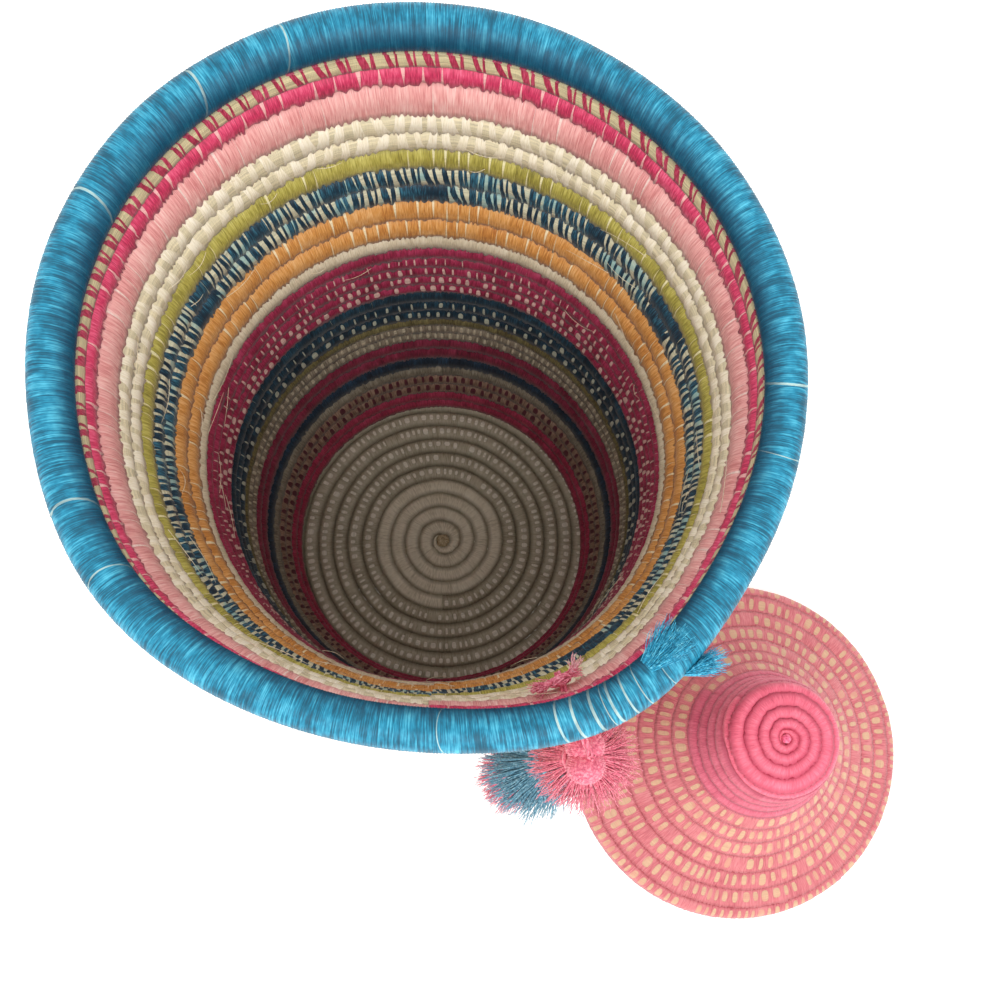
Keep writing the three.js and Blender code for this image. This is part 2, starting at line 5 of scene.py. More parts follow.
import bmesh
import bpy
import numpy as np
from mathutils import Euler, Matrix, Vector


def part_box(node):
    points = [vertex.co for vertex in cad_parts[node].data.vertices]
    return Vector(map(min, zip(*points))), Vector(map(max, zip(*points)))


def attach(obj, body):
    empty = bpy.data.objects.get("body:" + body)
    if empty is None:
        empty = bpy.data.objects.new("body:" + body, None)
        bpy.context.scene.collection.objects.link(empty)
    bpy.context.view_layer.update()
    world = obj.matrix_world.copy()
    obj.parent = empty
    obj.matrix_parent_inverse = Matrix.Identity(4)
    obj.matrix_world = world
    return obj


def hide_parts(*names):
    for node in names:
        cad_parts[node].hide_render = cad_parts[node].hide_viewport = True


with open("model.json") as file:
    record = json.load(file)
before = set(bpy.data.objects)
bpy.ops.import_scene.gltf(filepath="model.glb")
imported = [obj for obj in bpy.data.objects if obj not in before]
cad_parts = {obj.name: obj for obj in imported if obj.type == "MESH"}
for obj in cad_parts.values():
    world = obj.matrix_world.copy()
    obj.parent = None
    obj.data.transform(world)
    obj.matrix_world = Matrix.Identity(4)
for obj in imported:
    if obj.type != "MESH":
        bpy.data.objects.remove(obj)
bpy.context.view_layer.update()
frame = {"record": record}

# A lidded coiled basket: a grass coil bound row on row with dyed raffia, a wrapped hoop round
# its mouth, a bell-shaped lid beside it and a string of raffia tassels under the hoop.

mm = 0.001
turnAngle = 2 * math.pi


def newObject(name, mesh):
    made = bpy.data.objects.new(name, mesh)
    bpy.context.scene.collection.objects.link(made)
    return made


def centreOf(node):
    low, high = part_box(node)
    return (Vector(low) + Vector(high)) / 2


def topOf(node):
    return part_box(node)[1][2] / mm


# Camera, a phone held over the near side of the mouth

cameraSettings = {
    "place": (9.0, -114.6, 554.4),  # mm
    "turn": (7.23, -4.44, 0.0),  # degrees
    "lens": 30.6,
    "shift": (-0.0217, 0.1091),
}
cameraData = bpy.data.cameras.new("camera")
cameraData.lens = cameraSettings["lens"]
cameraData.sensor_width = 36
cameraData.shift_x, cameraData.shift_y = cameraSettings["shift"]
cameraData.clip_start = 0.01
cameraData.dof.use_dof = False
camera = newObject("camera", cameraData)
camera.location = Vector(cameraSettings["place"]) * mm
camera.rotation_euler = Euler([math.radians(angle) for angle in cameraSettings["turn"]])
bpy.context.scene.camera = camera
bpy.context.scene.view_settings.view_transform = "Standard"


# Materials

def hexToLinear(text, share=1.0):
    parts = [int(text[i:i + 2], 16) / 255 for i in (1, 3, 5)]
    linear = [p / 12.92 if p <= 0.04045 else ((p + 0.055) / 1.055) ** 2.4 for p in parts]
    return (*[min(1.0, share * p) for p in linear], 1)


def addNode(material, kind, *inputs, output=0, stops=(), **settings):
    # inputs are sockets or values, in order or in a dictionary, and "Math add" names an operation too
    kind, _, operation = kind.partition(" ")
    node = material.node_tree.nodes.new("ShaderNode" + kind)
    if operation:
        node.operation = operation.upper()
    for key, value in settings.items():
        setattr(node, key, value)
    if stops:
        for position, colour in stops:
            node.color_ramp.elements.new(position).color = hexToLinear(colour)
        for unused in (0, -1):
            node.color_ramp.elements.remove(node.color_ramp.elements[unused])
    byName = inputs and isinstance(inputs[0], dict)
    for socket, source in (inputs[0] if byName else dict(enumerate(inputs))).items():
        if isinstance(source, bpy.types.NodeSocket):
            material.node_tree.links.new(source, node.inputs[socket])
        else:
            node.inputs[socket].default_value = source
    return node.outputs[output] if node.outputs else None


mixing = {"output": 2, "data_type": "RGBA"}
oneNumber = {"noise_dimensions": "1D"}
smooth = {"interpolation_type": "SMOOTHSTEP"}


def startMaterial(name):
    material = bpy.data.materials.new(name)
    material.use_nodes = True
    material.node_tree.nodes.clear()
    return material, partial(addNode, material)


def finishMaterial(add, colour, height, roughness, sheen=0.0, bumpDepth=0.0003, gloss=0.5):
    normal = add("Bump", {"Strength": 0.7, "Distance": bumpDepth, "Height": height})
    shader = add("BsdfPrincipled", {"Base Color": colour, "Roughness": roughness, "Sheen Weight": sheen,
                                    "Sheen Roughness": 0.4, "Specular IOR Level": gloss, "Normal": normal})
    add("OutputMaterial", shader)


def stitchCoordinates(add):
    # u counts stitches along the coil, v runs once round it, down one face and up the other
    along = add("SeparateXYZ", add("UVMap", uv_map="UVMap"))
    around = along.node.outputs[1]
    folded = add("Math absolute", add("Math multiply_add", around, 2.0, -1.0))
    return along, around, add("Math subtract", 1.0, folded)


raffiaSettings = {
    "thread": 0.6,  # mm, drawn a little coarser than real ones so that they show
    "patch": 14.0,  # mm, patches of one dye tone
    "grass": 16.0,  # mm, undyed grass runs along the coil
    "close": 40.0,  # mm, stretches where the stitches lie close together
    "threadsRound": 3.5,
    "patchesRound": 1.5,
    "grassRound": 22.0,
    "stitchTone": 0.13,
    "patchTone": 0.3,
    "darkest": 0.22,  # how far below and above the middle of the noise the ramp ends
    "palest": 0.24,
    "roughness": 0.55,
    "sheen": 0.12,
    "bump": 0.0004,
}


# Raffia: split palm leaf, dyed, wound flat and tight over the grass coil. It has a dull silk
# shine, its threads, about half a millimetre wide, lie side by side across the row, and where two
# stitches part the pale grass shows between them. The dye is its middle, dark and pale tone;
# sizes are in millimetres, shares run over a stitch.
# edge sets how much painted shade darkens the grooves between rows; the setting after it gives that shade's
# width and its share of the shade tone.
def raffia(name, dye, stitch, ground="#D9C48F", tint=None, pattern="full", slits=0.0, slitWidth=0.9,
           bars=(0.0, 0.0, 0.2, 0.2), slant=0.12, tilt=0.0, uneven=0.0, solid=1.0, dots=(0.0, 0.0, 0.0),
           dotTall=(0.1, 0.42, 0.25), dotGroups=0.0, dotClear=1.0, rag=0.1, contrast=1.0, edge=0.4,
           grooveShade=(0.16, 0.4), fibres=(0.5, 1.15)):
    s = raffiaSettings
    material, add = startMaterial("raffia_" + name)
    along, around, down = stitchCoordinates(add)
    across = add("Math subtract", add("Math fract", along), 0.5)
    face = add("Math greater_than", around, 0.5)
    seed = add("Math multiply_add", face, 37.7, add("Math floor", along))
    chance = add("TexWhiteNoise", {1: seed}, **oneNumber)
    otherChance = add("TexWhiteNoise", {1: add("Math add", seed, 0.37)}, **oneNumber)

    place = add("CombineXYZ", along, around, face)
    threads, patches, grass = [
        add("TexNoise", {0: add("VectorMath multiply", place, scale), 2: 1.0, 3: 2.0, 4: rough})
        for scale, rough in (((1.3 * stitch / s["thread"], s["threadsRound"], 7.3), 0.6),
                             ((stitch / s["patch"], s["patchesRound"], 1.0), 0.5),
                             ((stitch / s["grass"], s["grassRound"], 0.0), 0.6))]
    tone = add("Math multiply_add", add("Math subtract", chance, 0.5), s["stitchTone"], threads)
    tone = add("Math multiply_add", add("Math subtract", patches, 0.5), s["patchTone"], tone)
    yarn, shade, tip = dye
    strand = add("ValToRGB", tone, stops=((0.5 - s["darkest"] / contrast, shade), (0.5, yarn),
                                          (0.5 + s["palest"] / contrast, tip)))
    grassTone = add("Math multiply_add", grass, 1.9, -0.45)
    groundEnds = [hexToLinear(ground, share) for share in fibres]
    groundColour = add("Mix", {0: grassTone, 6: groundEnds[0], 7: groundEnds[1]}, **mixing)
    if tint:
        stained = add("Math multiply", add("MapRange", patches, 0.48, 0.62, **smooth), 0.7)
        groundColour = add("Mix", {0: stained, 6: groundColour, 7: hexToLinear(tint)}, **mixing)

    lean = add("Math multiply_add", add("Math subtract", otherChance, 0.5), slant, tilt)
    leaning = add("Math multiply_add", add("Math subtract", down, 0.5), lean, across)
    wander = add("Math multiply_add", add("Math subtract", threads, 0.5), rag, add("Math absolute", leaning))
    covered = 1.0
    if pattern == "bars":
        # the two legs of a stitch: how far apart at the top and the foot, and half their widths there
        spreadTop, spreadFoot, halfTop, halfFoot = bars
        spread = add("Math multiply_add", down, spreadFoot - spreadTop, spreadTop)
        half = add("Math multiply_add", down, halfFoot - halfTop, halfTop)
        half = add("Math multiply", half, add("Math multiply_add", chance, 0.5, 0.75))
        if uneven:
            # one leg lies flat and the other is pulled thin
            thin = add("Math greater_than", leaning, 0.0)
            half = add("Math multiply", half, add("Math multiply_add", thin, -2 * uneven, 1 + uneven))
        if solid < 1:
            stretch = add("VectorMath multiply", place, (stitch / s["close"], 0.0, 0.0))
            close = add("TexNoise", {0: stretch, 2: 1.0, 3: 1.0, 4: 0.5})
            close = add("MapRange", close, solid, solid + 0.05, **smooth)
            half = add("Math multiply_add", close, 0.3, half)
        legs = add("Math absolute", add("Math subtract", wander, spread))
        covered = add("Math less_than", legs, half)
    elif pattern == "dots":
        # rounded dots that grow wider from a row on; dotTall gives their upper end, their middle length
        # and how much that varies
        firstRow, growth, widest = dots
        row = add("Attribute", attribute_name="row", output="Fac")
        size = add("Math multiply", add("Math subtract", row, firstRow), growth)
        size = add("Math maximum", add("Math minimum", size, widest), 0.001)
        size = add("Math multiply", size, add("Math multiply_add", chance, 0.5, 0.65))
        groupAlong = add("Math multiply", add("Math floor", along), stitch / s["patch"])
        groups = add("TexNoise", {0: add("CombineXYZ", groupAlong, face), 2: 1.0, 3: 1.0, 4: 0.5})
        grouped = add("Math greater_than", groups, add("Math multiply_add", chance, 0.15, dotGroups))
        tall = add("Math multiply_add", add("Math subtract", otherChance, 0.5), dotTall[2], dotTall[1])
        tall = add("Math multiply", tall, 0.5)
        fromMiddle = add("Math subtract", add("Math subtract", down, dotTall[0]), tall)
        across3 = add("Math power", add("Math divide", wander, size), 3.0)
        down3 = add("Math power", add("Math absolute", add("Math divide", fromMiddle, tall)), 3.0)
        inside = add("MapRange", add("Math add", across3, down3), 1.15, 0.8, **smooth)
        covered = add("Math multiply_add", add("Math multiply", inside, grouped), -dotClear, 1.0)
    if slits:
        # a wedge, open at the row's upper or lower side
        shifted = add("Math add", along, 0.5)
        beside = add("Math absolute", add("Math subtract", add("Math fract", shifted), 0.5))
        number = add("Math multiply_add", face, 21.3, add("Math floor", shifted))
        luck = add("TexWhiteNoise", {1: number}, **oneNumber)
        rise = add("TexWhiteNoise", {1: add("Math add", number, 0.61)}, **oneNumber)
        fromBelow = add("Math greater_than", rise, 0.5)
        opened = add("Mix", {0: fromBelow, 2: down, 3: add("Math subtract", 1.0, down)})
        width = add("Math multiply", add("Math power", opened, 0.8), slitWidth / stitch / 2)
        width = add("Math multiply", width, add("Math multiply_add", rise, 0.8, 0.6))
        slit = add("Math multiply", add("Math less_than", beside, width), add("Math less_than", luck, slits))
        covered = add("Math multiply", covered, add("Math subtract", 1.0, slit))

    colour = add("Mix", {0: covered, 6: groundColour, 7: strand}, **mixing)
    # painted shade: the grooves between two rows are darkened towards a share of the shade tone, standing in
    # for the shade that falls in them
    toEdge = add("Math minimum", down, add("Math subtract", 1.0, down))
    grooveShadeWidth, grooveShadeTone = grooveShade
    inGrooveShade = add("Math multiply", add("MapRange", toEdge, grooveShadeWidth, 0.0, **smooth), edge)
    colour = add("Mix", {0: inGrooveShade, 6: colour, 7: hexToLinear(shade, grooveShadeTone)}, **mixing)
    height = add("Math multiply_add", covered, 0.9, threads)
    finishMaterial(add, colour, height, s["roughness"], s["sheen"], s["bump"])
    return material


looseSettings = {"scale": 900.0, "roughness": 0.55, "bump": 0.0002}


# Loose or plain raffia without stitches: colour and ribs by place, in millimetres
def looseRaffia(name, yarn, shade, tip, sheen=0.3):
    material, add = startMaterial("raffia_" + name)
    place = add("TexCoord", output="Object")
    patches = add("TexNoise", {0: place, 2: looseSettings["scale"], 3: 3.0, 4: 0.6})
    colour = add("ValToRGB", patches, stops=((0.32, shade), (0.5, yarn), (0.68, tip)))
    finishMaterial(add, colour, patches, looseSettings["roughness"], sheen, looseSettings["bump"])
    return material


# Rows of the coil, shaped as in the frame: a middle line, the rows' boundaries along it, and the
# seam at which a row steps up to the next.

coilSettings = {
    "rowGap": 0.2,
    "flat": 2.3,
    "stepUp": 0.15,
    "levelRows": 1e9,
    "fromStart": False,
    "lean": (0, 0),
    "centre": (0, 0),
    "taperLeft": 0.12,
    "faceSteps": 6,
    "column": 0.85,
    "swell": 0.22,
    "groove": 0.16,
    "tooth": 1.5,
    "uneven": 0.3,
    "proud": (-0.12, 0.14),
    "grain": 0.07,
    "wobbleOut": 0.25,
    "wobbleUp": 0.35,
}


def smoothThrough(stations, share):
    places = np.array([s[0] for s in stations])
    values = np.array([s[1] for s in stations])
    last = len(stations) - 1
    before, after = np.maximum(np.arange(last + 1) - 1, 0), np.minimum(np.arange(last + 1) + 1, last)
    slopes = (values[after] - values[before]) / (places[after] - places[before])
    i = np.clip(np.searchsorted(places, share) - 1, 0, last - 1)
    span = places[i + 1] - places[i]
    u = np.clip((share - places[i]) / span, 0, 1)
    return ((2 * u**3 - 3 * u**2 + 1) * values[i] + (u**3 - 2 * u**2 + u) * span * slopes[i]
            + (3 * u**2 - 2 * u**3) * values[i + 1] + (u**3 - u**2) * span * slopes[i + 1])


def boundary(coil, turn):
    k = np.round(turn)
    climb = np.where(k > coil["levelRows"], 0.5, coil["stepUp"])
    rise = np.clip((turn - k + climb) / (2 * climb), 0, 1)
    levels = np.array(coil["levels"])
    low = levels[np.clip(k - 1, 0, len(levels) - 1).astype(int)]
    high = levels[np.clip(k, 0, len(levels) - 1).astype(int)]
    return low + (high - low) * rise


def stackRows(start, rows):
    return [start, *(start + np.cumsum(rows))]


def intoMesh(work, mesh):
    work.to_mesh(mesh)
    work.free()
    mesh.shade_smooth()
    return mesh


def gridPlaces(data, field, width, counts):
    # columns and rings of a grid's corners, from their places between 0 and 1
    numbers = np.empty(len(data) * width)
    data.foreach_get(field, numbers)
    shares = numbers.reshape(-1, width)[:, :2]
    return np.round((shares if field == "uv" else (shares + 1) / 2) * counts).astype(int).T


def stripMesh(name, columns, parts, ringV):
    # a flat grid: u counts in parts of a stitch, v is given for each ring
    rings = len(ringV) - 1
    work = bmesh.new()
    work.loops.layers.uv.new("UVMap")
    bmesh.ops.create_grid(work, x_segments=columns, y_segments=rings, size=1, calc_uvs=True)
    mesh = intoMesh(work, bpy.data.meshes.new(name))
    corners = mesh.uv_layers[0].data
    uvColumn, uvRing = gridPlaces(corners, "uv", 2, (columns, rings))
    corners.foreach_set("uv", np.stack([uvColumn / parts, ringV[uvRing]], 1).ravel())
    return mesh, *gridPlaces(mesh.vertices, "co", 3, (columns, rings))


def closeTube(mesh, places):
    mesh.vertices.foreach_set("co", (places * mm).ravel())
    work = bmesh.new()
    work.from_mesh(mesh)
    bmesh.ops.remove_doubles(work, verts=work.verts, dist=1e-6)
    bmesh.ops.holes_fill(work, edges=[edge for edge in work.edges if edge.is_boundary], sides=0)
    bmesh.ops.recalc_face_normals(work, faces=work.faces)
    intoMesh(work, mesh)


def handWobble(angle, level):
    # the slow unevenness of a row wound by hand, the same for rows that touch
    return (0.5 * np.sin(3 * angle + level / 31) + 0.3 * np.sin(7 * angle + level / 17 + 1.3)
            + 0.2 * np.sin(13 * angle - level / 23 + 0.4))


# A flat strip, as wide as the coil is round, is rolled into rows; each column is part of a stitch.
def rollRows(name, coil, start, end, stitch, seed):
    s = dict(coilSettings, **coil)
    rng = np.random.default_rng(seed)
    cuts = [start]
    while cuts[-1] < end:
        radius = float(s["track"](boundary(s, np.array([cuts[-1] + 0.5])))[0][0])
        width = stitch * (1 + rng.uniform(-s["uneven"], s["uneven"]))
        cuts.append(cuts[-1] + width / (turnAngle * max(radius, 1.5)))
    cuts = np.array(cuts)
    cuts = start + (cuts - start) * (end - start) / (cuts[-1] - start)
    stitches = len(cuts) - 1
    parts = max(3, round(stitch / s["column"]))
    columns = stitches * parts
    fraction = np.tile(np.arange(parts) / parts, stitches)
    number = np.repeat(np.arange(stitches), parts)
    turn = np.append(cuts[number] + fraction * (cuts[number + 1] - cuts[number]), end)
    fraction, number = np.append(fraction, 0.0), np.append(number, stitches)

    steps = s["faceSteps"]
    down = np.linspace(0, 1, steps + 1)
    ringDown = np.concatenate([down, down[::-1], [0.0]])
    ringSide = np.concatenate([-np.ones(steps + 1), np.ones(steps + 1), [-1.0]])
    ringV = np.concatenate([down / 2, 1 - down[::-1] / 2, [1.0]])
    mesh, column, ring = stripMesh(name, columns, parts, ringV)

    proud = rng.uniform(*s["proud"], stitches + 1)
    grain = rng.uniform(-s["grain"], s["grain"], columns + 1)
    tooth = rng.uniform(0.0, 1.0, columns + 1) ** 1.4 * s["tooth"]
    gap = s["rowGap"] / 2
    t, w, side = turn[column], ringDown[ring], ringSide[ring]
    low = boundary(s, t) + gap
    high = boundary(s, t + 1) - gap
    plump = np.clip((high - low) / 5, 0.3, 1)
    arch = np.sin(np.pi * w) ** 0.8
    swell = s["swell"] * s["relief"] * np.sin(np.pi * fraction[column]) ** 0.6
    groove = np.where(fraction[column] > 0, 0.0, s["groove"] * s["relief"])
    relief = (proud[number[column]] + grain[column] + swell - groove) * (0.3 + 0.7 * arch)
    angle = s["seam"] + turnAngle * t
    slow = handWobble(angle, low)
    offset = s["flat"] + (s["half"] - s["flat"]) * arch + relief + s["wobbleOut"] * slow
    level = high + (low - high) * w + s["wobbleUp"] * slow
    tip = (w > 0.99) & (high - low > 3)
    level = np.where(tip, level - tooth[column], level)
    offset = np.where(tip, s["flat"] + 0.5 + 0.35 * tooth[column], offset)
    r, z, nr, nz = s["track"](level)
    offset = side * offset * plump
    if "floorAt" in s:
        offset = np.maximum(offset, s["floorAt"])
    r, z = r + nr * offset, z + nz * offset
    if "keepOff" in s:
        r, z = s["keepOff"](r, z)
    if "pushed" in s:
        r = r + s["pushed"](angle, z)
    if "lowest" in s:
        z = np.maximum(z, s["lowest"])
    x, y = r * np.cos(angle), r * np.sin(angle)
    leanX, leanY = s["lean"]
    middleX, middleY = s["centre"]
    rowNumber = mesh.attributes.new("row", "FLOAT", "POINT")
    rowNumber.data.foreach_set("value", t - start if s["fromStart"] else end - t)
    closeTube(mesh, np.stack([x + leanX * z + middleX, y + leanY * z + middleY, z], 1))
    return newObject(name, mesh)


def dress(piece, material, body, slot, *nodes):
    piece.data.materials.clear()
    piece.data.materials.append(material)
    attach(piece, body)
    if nodes:
        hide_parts(*nodes)
    return piece


# Wall

wallShape = {"footRadius": 93.3, "kneeRadius": 103.5, "bellyRadius": 105.2, "waistRadius": 103.8,
             "shoulderRadius": 108.0, "mouthRadius": 112.1, "lipRadius": 115.5, "height": 273.39, "half": 4.0,
             "seam": -math.pi / 2, "seatGap": 0.3}
bulgeShape = {"places": [(-62, 14, 6.8), (-140, 13, 2.6)], "from": 0.74, "full": 0.99}
floorTop = topOf("floor_olive_turns")
wallBase = floorTop + wallShape["seatGap"]
wallTop = wallBase + wallShape["height"]

# node, rows, height of a row, width of a stitch, how proud it stands, slot, dye, and how the raffia looks
wallBands = [
    ("foot_crimson", 2, 8.7, 5.0, 0.8, "crimson", ("#AA2D4D", "#741C36", "#C84F6E"), {}),
    ("brown_dotted", 2, 9.25, 5.6, 0.8, "brown", ("#9A7B67", "#6A5143", "#B49A85"),
     dict(ground="#5E2430", pattern="dots", fibres=(0.8, 1.1), dots=(-3.0, 0.3, 0.24),
          dotTall=(0.12, 0.6, 0.2))),
    ("taupe_line", 1, 8.9, 5.0, 0.8, "taupe", ("#8D8472", "#5F584B", "#B0A792"), {}),
    ("navy_line", 1, 10.3, 5.0, 0.8, "navy", ("#1B2E40", "#0D1824", "#30506A"), {}),
    ("dark_crimson", 2, 10.8, 5.0, 0.8, "dark_crimson", ("#8A2440", "#57142A", "#A94360"), {}),
    ("taupe_dotted", 2, 9, 4.4, 0.8, "taupe", ("#8F8370", "#62594A", "#B0A48E"),
     dict(ground="#D4C8AC", pattern="dots", dots=(-3.0, 0.3, 0.18))),
    ("olive", 1, 7.7, 5.0, 0.8, "olive", ("#6E6540", "#463F26", "#8F8658"), {}),
    ("navy_dotted", 3, 10.53, 7.0, 0.8, "navy", ("#14303F", "#091A26", "#2C576C"),
     dict(ground="#C9CDB8", pattern="dots", slant=0.3, rag=0.06, dots=(1.1, 0.3, 0.19),
          dotTall=(0.14, 0.42, 0.2), dotGroups=0.25)),
    ("crimson", 5, 8.44, 4.6, 0.8, "crimson", ("#992547", "#6A162F", "#B54065"),
     dict(ground="#E6C0B4", pattern="dots", slant=0.5, rag=0.08, dots=(0.5, 0.09, 0.27),
          dotTall=(0.12, 0.42, 0.3), dotGroups=0.36, edge=0.3)),
    ("cream_line", 1, 8.2, 5.0, 0.5, "cream", ("#D2C4A8", "#B0A284", "#E4DAC2"),
     dict(contrast=0.8, edge=0.3)),
    ("orange", 2, 10.65, 5.4, 0.9, "orange", ("#DA994E", "#B47033", "#EDBC80"),
     dict(ground="#F8E3BA", slits=0.55, fibres=(0.8, 1.1), edge=0.25)),
    ("navy_straw", 2, 9.85, 6.4, 0.5, "navy", ("#113446", "#081F2D", "#3A7A92"),
     dict(ground="#E0DCBC", tint="#7FB9BC", pattern="bars", bars=(0.25, 0.17, 0.14, 0.19), slant=0.45,
          tilt=0.18, uneven=-0.25, rag=0.08, solid=0.57, fibres=(0.5, 1.12), edge=0.2)),
    ("lime", 1, 10.3, 5.0, 0.8, "lime", ("#AFA54B", "#807832", "#D0C871"),
     dict(ground="#EEE6B4", slits=0.45, slant=0.5, fibres=(0.8, 1.1), edge=0.25)),
    ("cream", 2, 8.6, 7.0, 0.4, "cream", ("#F0E6CC", "#DACDA9", "#F8F1DF"),
     dict(ground="#E6DAB6", pattern="bars", contrast=0.8, bars=(0.0, 0.0, 0.24, 0.36), slant=0.8, rag=0.14,
          fibres=(0.6, 1.15), edge=0.12)),
    ("pink", 1, 12.9, 4.6, 0.5, "pink", ("#E9A49F", "#CF7E7D", "#F6CAC2"),
     dict(ground="#F6D6CC", slits=0.3, slitWidth=0.7, fibres=(0.8, 1.1), edge=0.2)),
    ("crimson_top", 1, 7.6, 7.0, 0.9, "crimson", ("#D53A64", "#A62348", "#EE6C8E"),
     dict(ground="#F4B8B4", slits=0.75, slitWidth=1.3, fibres=(0.8, 1.1), edge=0.25)),
]
rowStretch = wallShape["height"] / sum(rows * height for _, rows, height, *_ in wallBands)
wallStations = [(share, wallShape[place + "Radius"]) for share, place in (
    (0, "foot"), (0.202, "knee"), (0.324, "belly"), (0.647, "waist"), (0.758, "shoulder"), (0.93, "mouth"),
    (1, "lip"))]


def pushedOut(angle, z):
    # the mouth is out of round, most where the hoop is spliced
    share = (z - wallBase) / wallShape["height"]
    up = np.clip((share - bulgeShape["from"]) / (bulgeShape["full"] - bulgeShape["from"]), 0, 1)
    out = 0.0
    for azimuth, spread, most in bulgeShape["places"]:
        away = np.angle(np.exp(1j * (angle - math.radians(azimuth)))) / math.radians(spread)
        out = out + most * np.exp(-away * away / 2)
    return out * up * up * (3 - 2 * up)


def wallTrack(level):
    radii = [smoothThrough(wallStations, (level + step - wallBase) / wallShape["height"])
             for step in (-1, 0, 1)]
    slope = (radii[2] - radii[0]) / 2
    length = np.hypot(1, slope)
    return radii[1], level, 1 / length, -slope / length


wallCoil = {
    "track": wallTrack,
    "levels": stackRows(wallBase, [rowStretch * high for _, rows, high, *_ in wallBands for _ in range(rows)]),
    "seam": wallShape["seam"],
    "half": wallShape["half"],
    "pushed": pushedOut,
}
runOut = 2 * coilSettings["stepUp"] * coilSettings["taperLeft"]
turn = 0
for number, (name, rows, height, stitch, relief, slot, dye, look) in enumerate(wallBands):
    first = turn == 0
    last = number == len(wallBands) - 1
    start = turn - (coilSettings["stepUp"] - runOut if first else 0)
    end = turn + rows + (coilSettings["stepUp"] - runOut if last else 0)
    band = dict(wallCoil, relief=relief)
    piece = rollRows("rows_" + name, band, start, end, stitch, 11 + number)
    dress(piece, raffia(name, dye, stitch, **look), "basket", slot + "_raffia", "wall_" + name)
    turn += rows
print("wall rows", turn)


# Floor: a flat spiral, natural at its middle and olive grey further out

floorShape = {"half": 3.75, "startRadius": 4.2, "turns": 10, "naturalTurns": 4, "cut": 0.5}
floorRoom = wallShape["footRadius"] + 3.7 - floorShape["startRadius"] - wallShape["seatGap"]


def floorTrack(level):
    middle = np.full_like(level, floorTop - floorShape["half"])
    return level, middle, np.zeros_like(level), np.ones_like(level)


floorCoil = {
    "track": floorTrack,
    "levels": np.linspace(0.1, floorRoom + 0.1, floorShape["turns"] + 1) + floorShape["startRadius"],
    "levelRows": -5,
    "stepUp": 0.5,
    "seam": wallShape["seam"],
    "half": floorShape["half"],
    "floorAt": floorShape["cut"] - floorShape["half"],
    "tooth": 0.6,
    "relief": 0.4,
}
floorParts = [
    ("floor_natural", -0.4, floorShape["naturalTurns"], 4.4, "natural", "straw_grass",
     ("#E2D8BE", "#BDB296", "#F2E9D3"), dict(contrast=0.7, edge=0.7, grooveShade=(0.32, 0.6))),
    ("floor_olive", floorShape["naturalTurns"], floorShape["turns"] + 0.4, 4.6, "olive_grey",
     "olive_grey_raffia", ("#BAB096", "#8E856C", "#D0C7AE"),
     dict(ground="#EFE8D5", pattern="dots", contrast=0.7, dots=(-30.0, 1.0, 0.27), dotTall=(0.26, 0.4, 0.14),
          dotGroups=0.28, edge=0.65, grooveShade=(0.28, 0.6), fibres=(0.75, 1.1))),
]
for number, (name, start, end, stitch, look, slot, dye, more) in enumerate(floorParts):
    piece = rollRows(name + "_rows", floorCoil, start, end, stitch, 41 + number)
    dress(piece, raffia(look, dye, stitch, **more), "basket", slot, name + "_turns")


def startKnot(name, middle, radius, bottom, top):
    work = bmesh.new()
    bmesh.ops.create_uvsphere(work, u_segments=24, v_segments=12, radius=1)
    for vertex in work.verts:
        x, y, z = vertex.co
        side = radius * (1 + 0.06 * math.sin(5 * math.atan2(y, x) + 4 * z))
        height = (bottom + top) / 2 + (top - bottom) / 2 * math.copysign(abs(z) ** 0.5, z)
        vertex.co = Vector((middle[0] + side * x, middle[1] + side * y, height)) * mm
    return newObject(name, intoMesh(work, bpy.data.meshes.new(name)))


knotStraw = looseRaffia("start_knot", "#B5A27C", "#857352", "#D2C29C")
floorKnot = startKnot("floor_start_knot", (0, 0), floorShape["startRadius"] + 0.4, 0.0, floorTop)
dress(floorKnot, knotStraw, "basket", "straw_grass", "floor_start")
print("floor turns", floorShape["turns"])


# Hoop: a grass ring wrapped edge to edge with thin blue raffia, silky and streaked, with paler
# threads that cross it here and there

hoopShape = {"radius": 117.6, "thick": 14.0, "wraps": 760, "around": 20, "proud": 0.13}
hoopHeight = centreOf("hoop").z / mm


def wrappedTube(name, wraps, around, place, proudness, seed):
    rng = np.random.default_rng(seed)
    parts = 3
    mesh, column, ring = stripMesh(name, wraps * parts, parts, np.arange(around + 1) / around)
    proud = rng.uniform(0.2, 1.0, wraps)
    proud = np.append(proud, proud[0])
    relief = np.where(column % parts == 0, -0.5, proud[column // parts]) * proudness
    closeTube(mesh, place(column / (wraps * parts), ring / around, relief))
    return newObject(name, mesh)


def hoopPlace(share, roundShare, relief):
    angle = turnAngle * (share % 1.0)
    tilt = turnAngle * (roundShare % 1.0)
    slow = 0.35 * np.sin(5 * angle + 0.7) + 0.25 * np.sin(11 * angle)
    thick = hoopShape["thick"] / 2 - 0.1 + relief + 0.25 * slow
    r = hoopShape["radius"] + pushedOut(angle, hoopHeight) + thick * np.cos(tilt)
    z = hoopHeight + thick * np.sin(tilt) + 0.25 * slow
    return np.stack([r * np.cos(angle), r * np.sin(angle), z], 1)


hoopLook = {
    "dye": ((0.2, "#0C4A61"), (0.4, "#125F79"), (0.55, "#1E86A7"), (0.8, "#5AC2DC")),
    "threads": (2.0, 4.0, 0.0),  # changes over a wrap and round the ring
    "streaks": (0.16, 5.0, 0.0),
    "wrapTone": 0.12,
    "streakTone": 0.75,
    "paleThread": "#CFE3D6",
    "paleSlant": 2.6,  # wraps
    "paleRare": 0.988,
    "paleAtSplice": -0.27,
    "splice": -63,  # degrees
    "spliceWraps": (24.0, 14.0),
    # painted shade on the ring's inner side and outer edge: where it starts and ends round the section, how
    # much, and the shade tone
    "innerShade": (0.27, 0.46, 0.75, "#123F5A"),  # the ring's inner side: where it starts, ends, how much, tone
    "outerShade": (0.06, 0.0, 0.6, "#1F4A5E"),
}


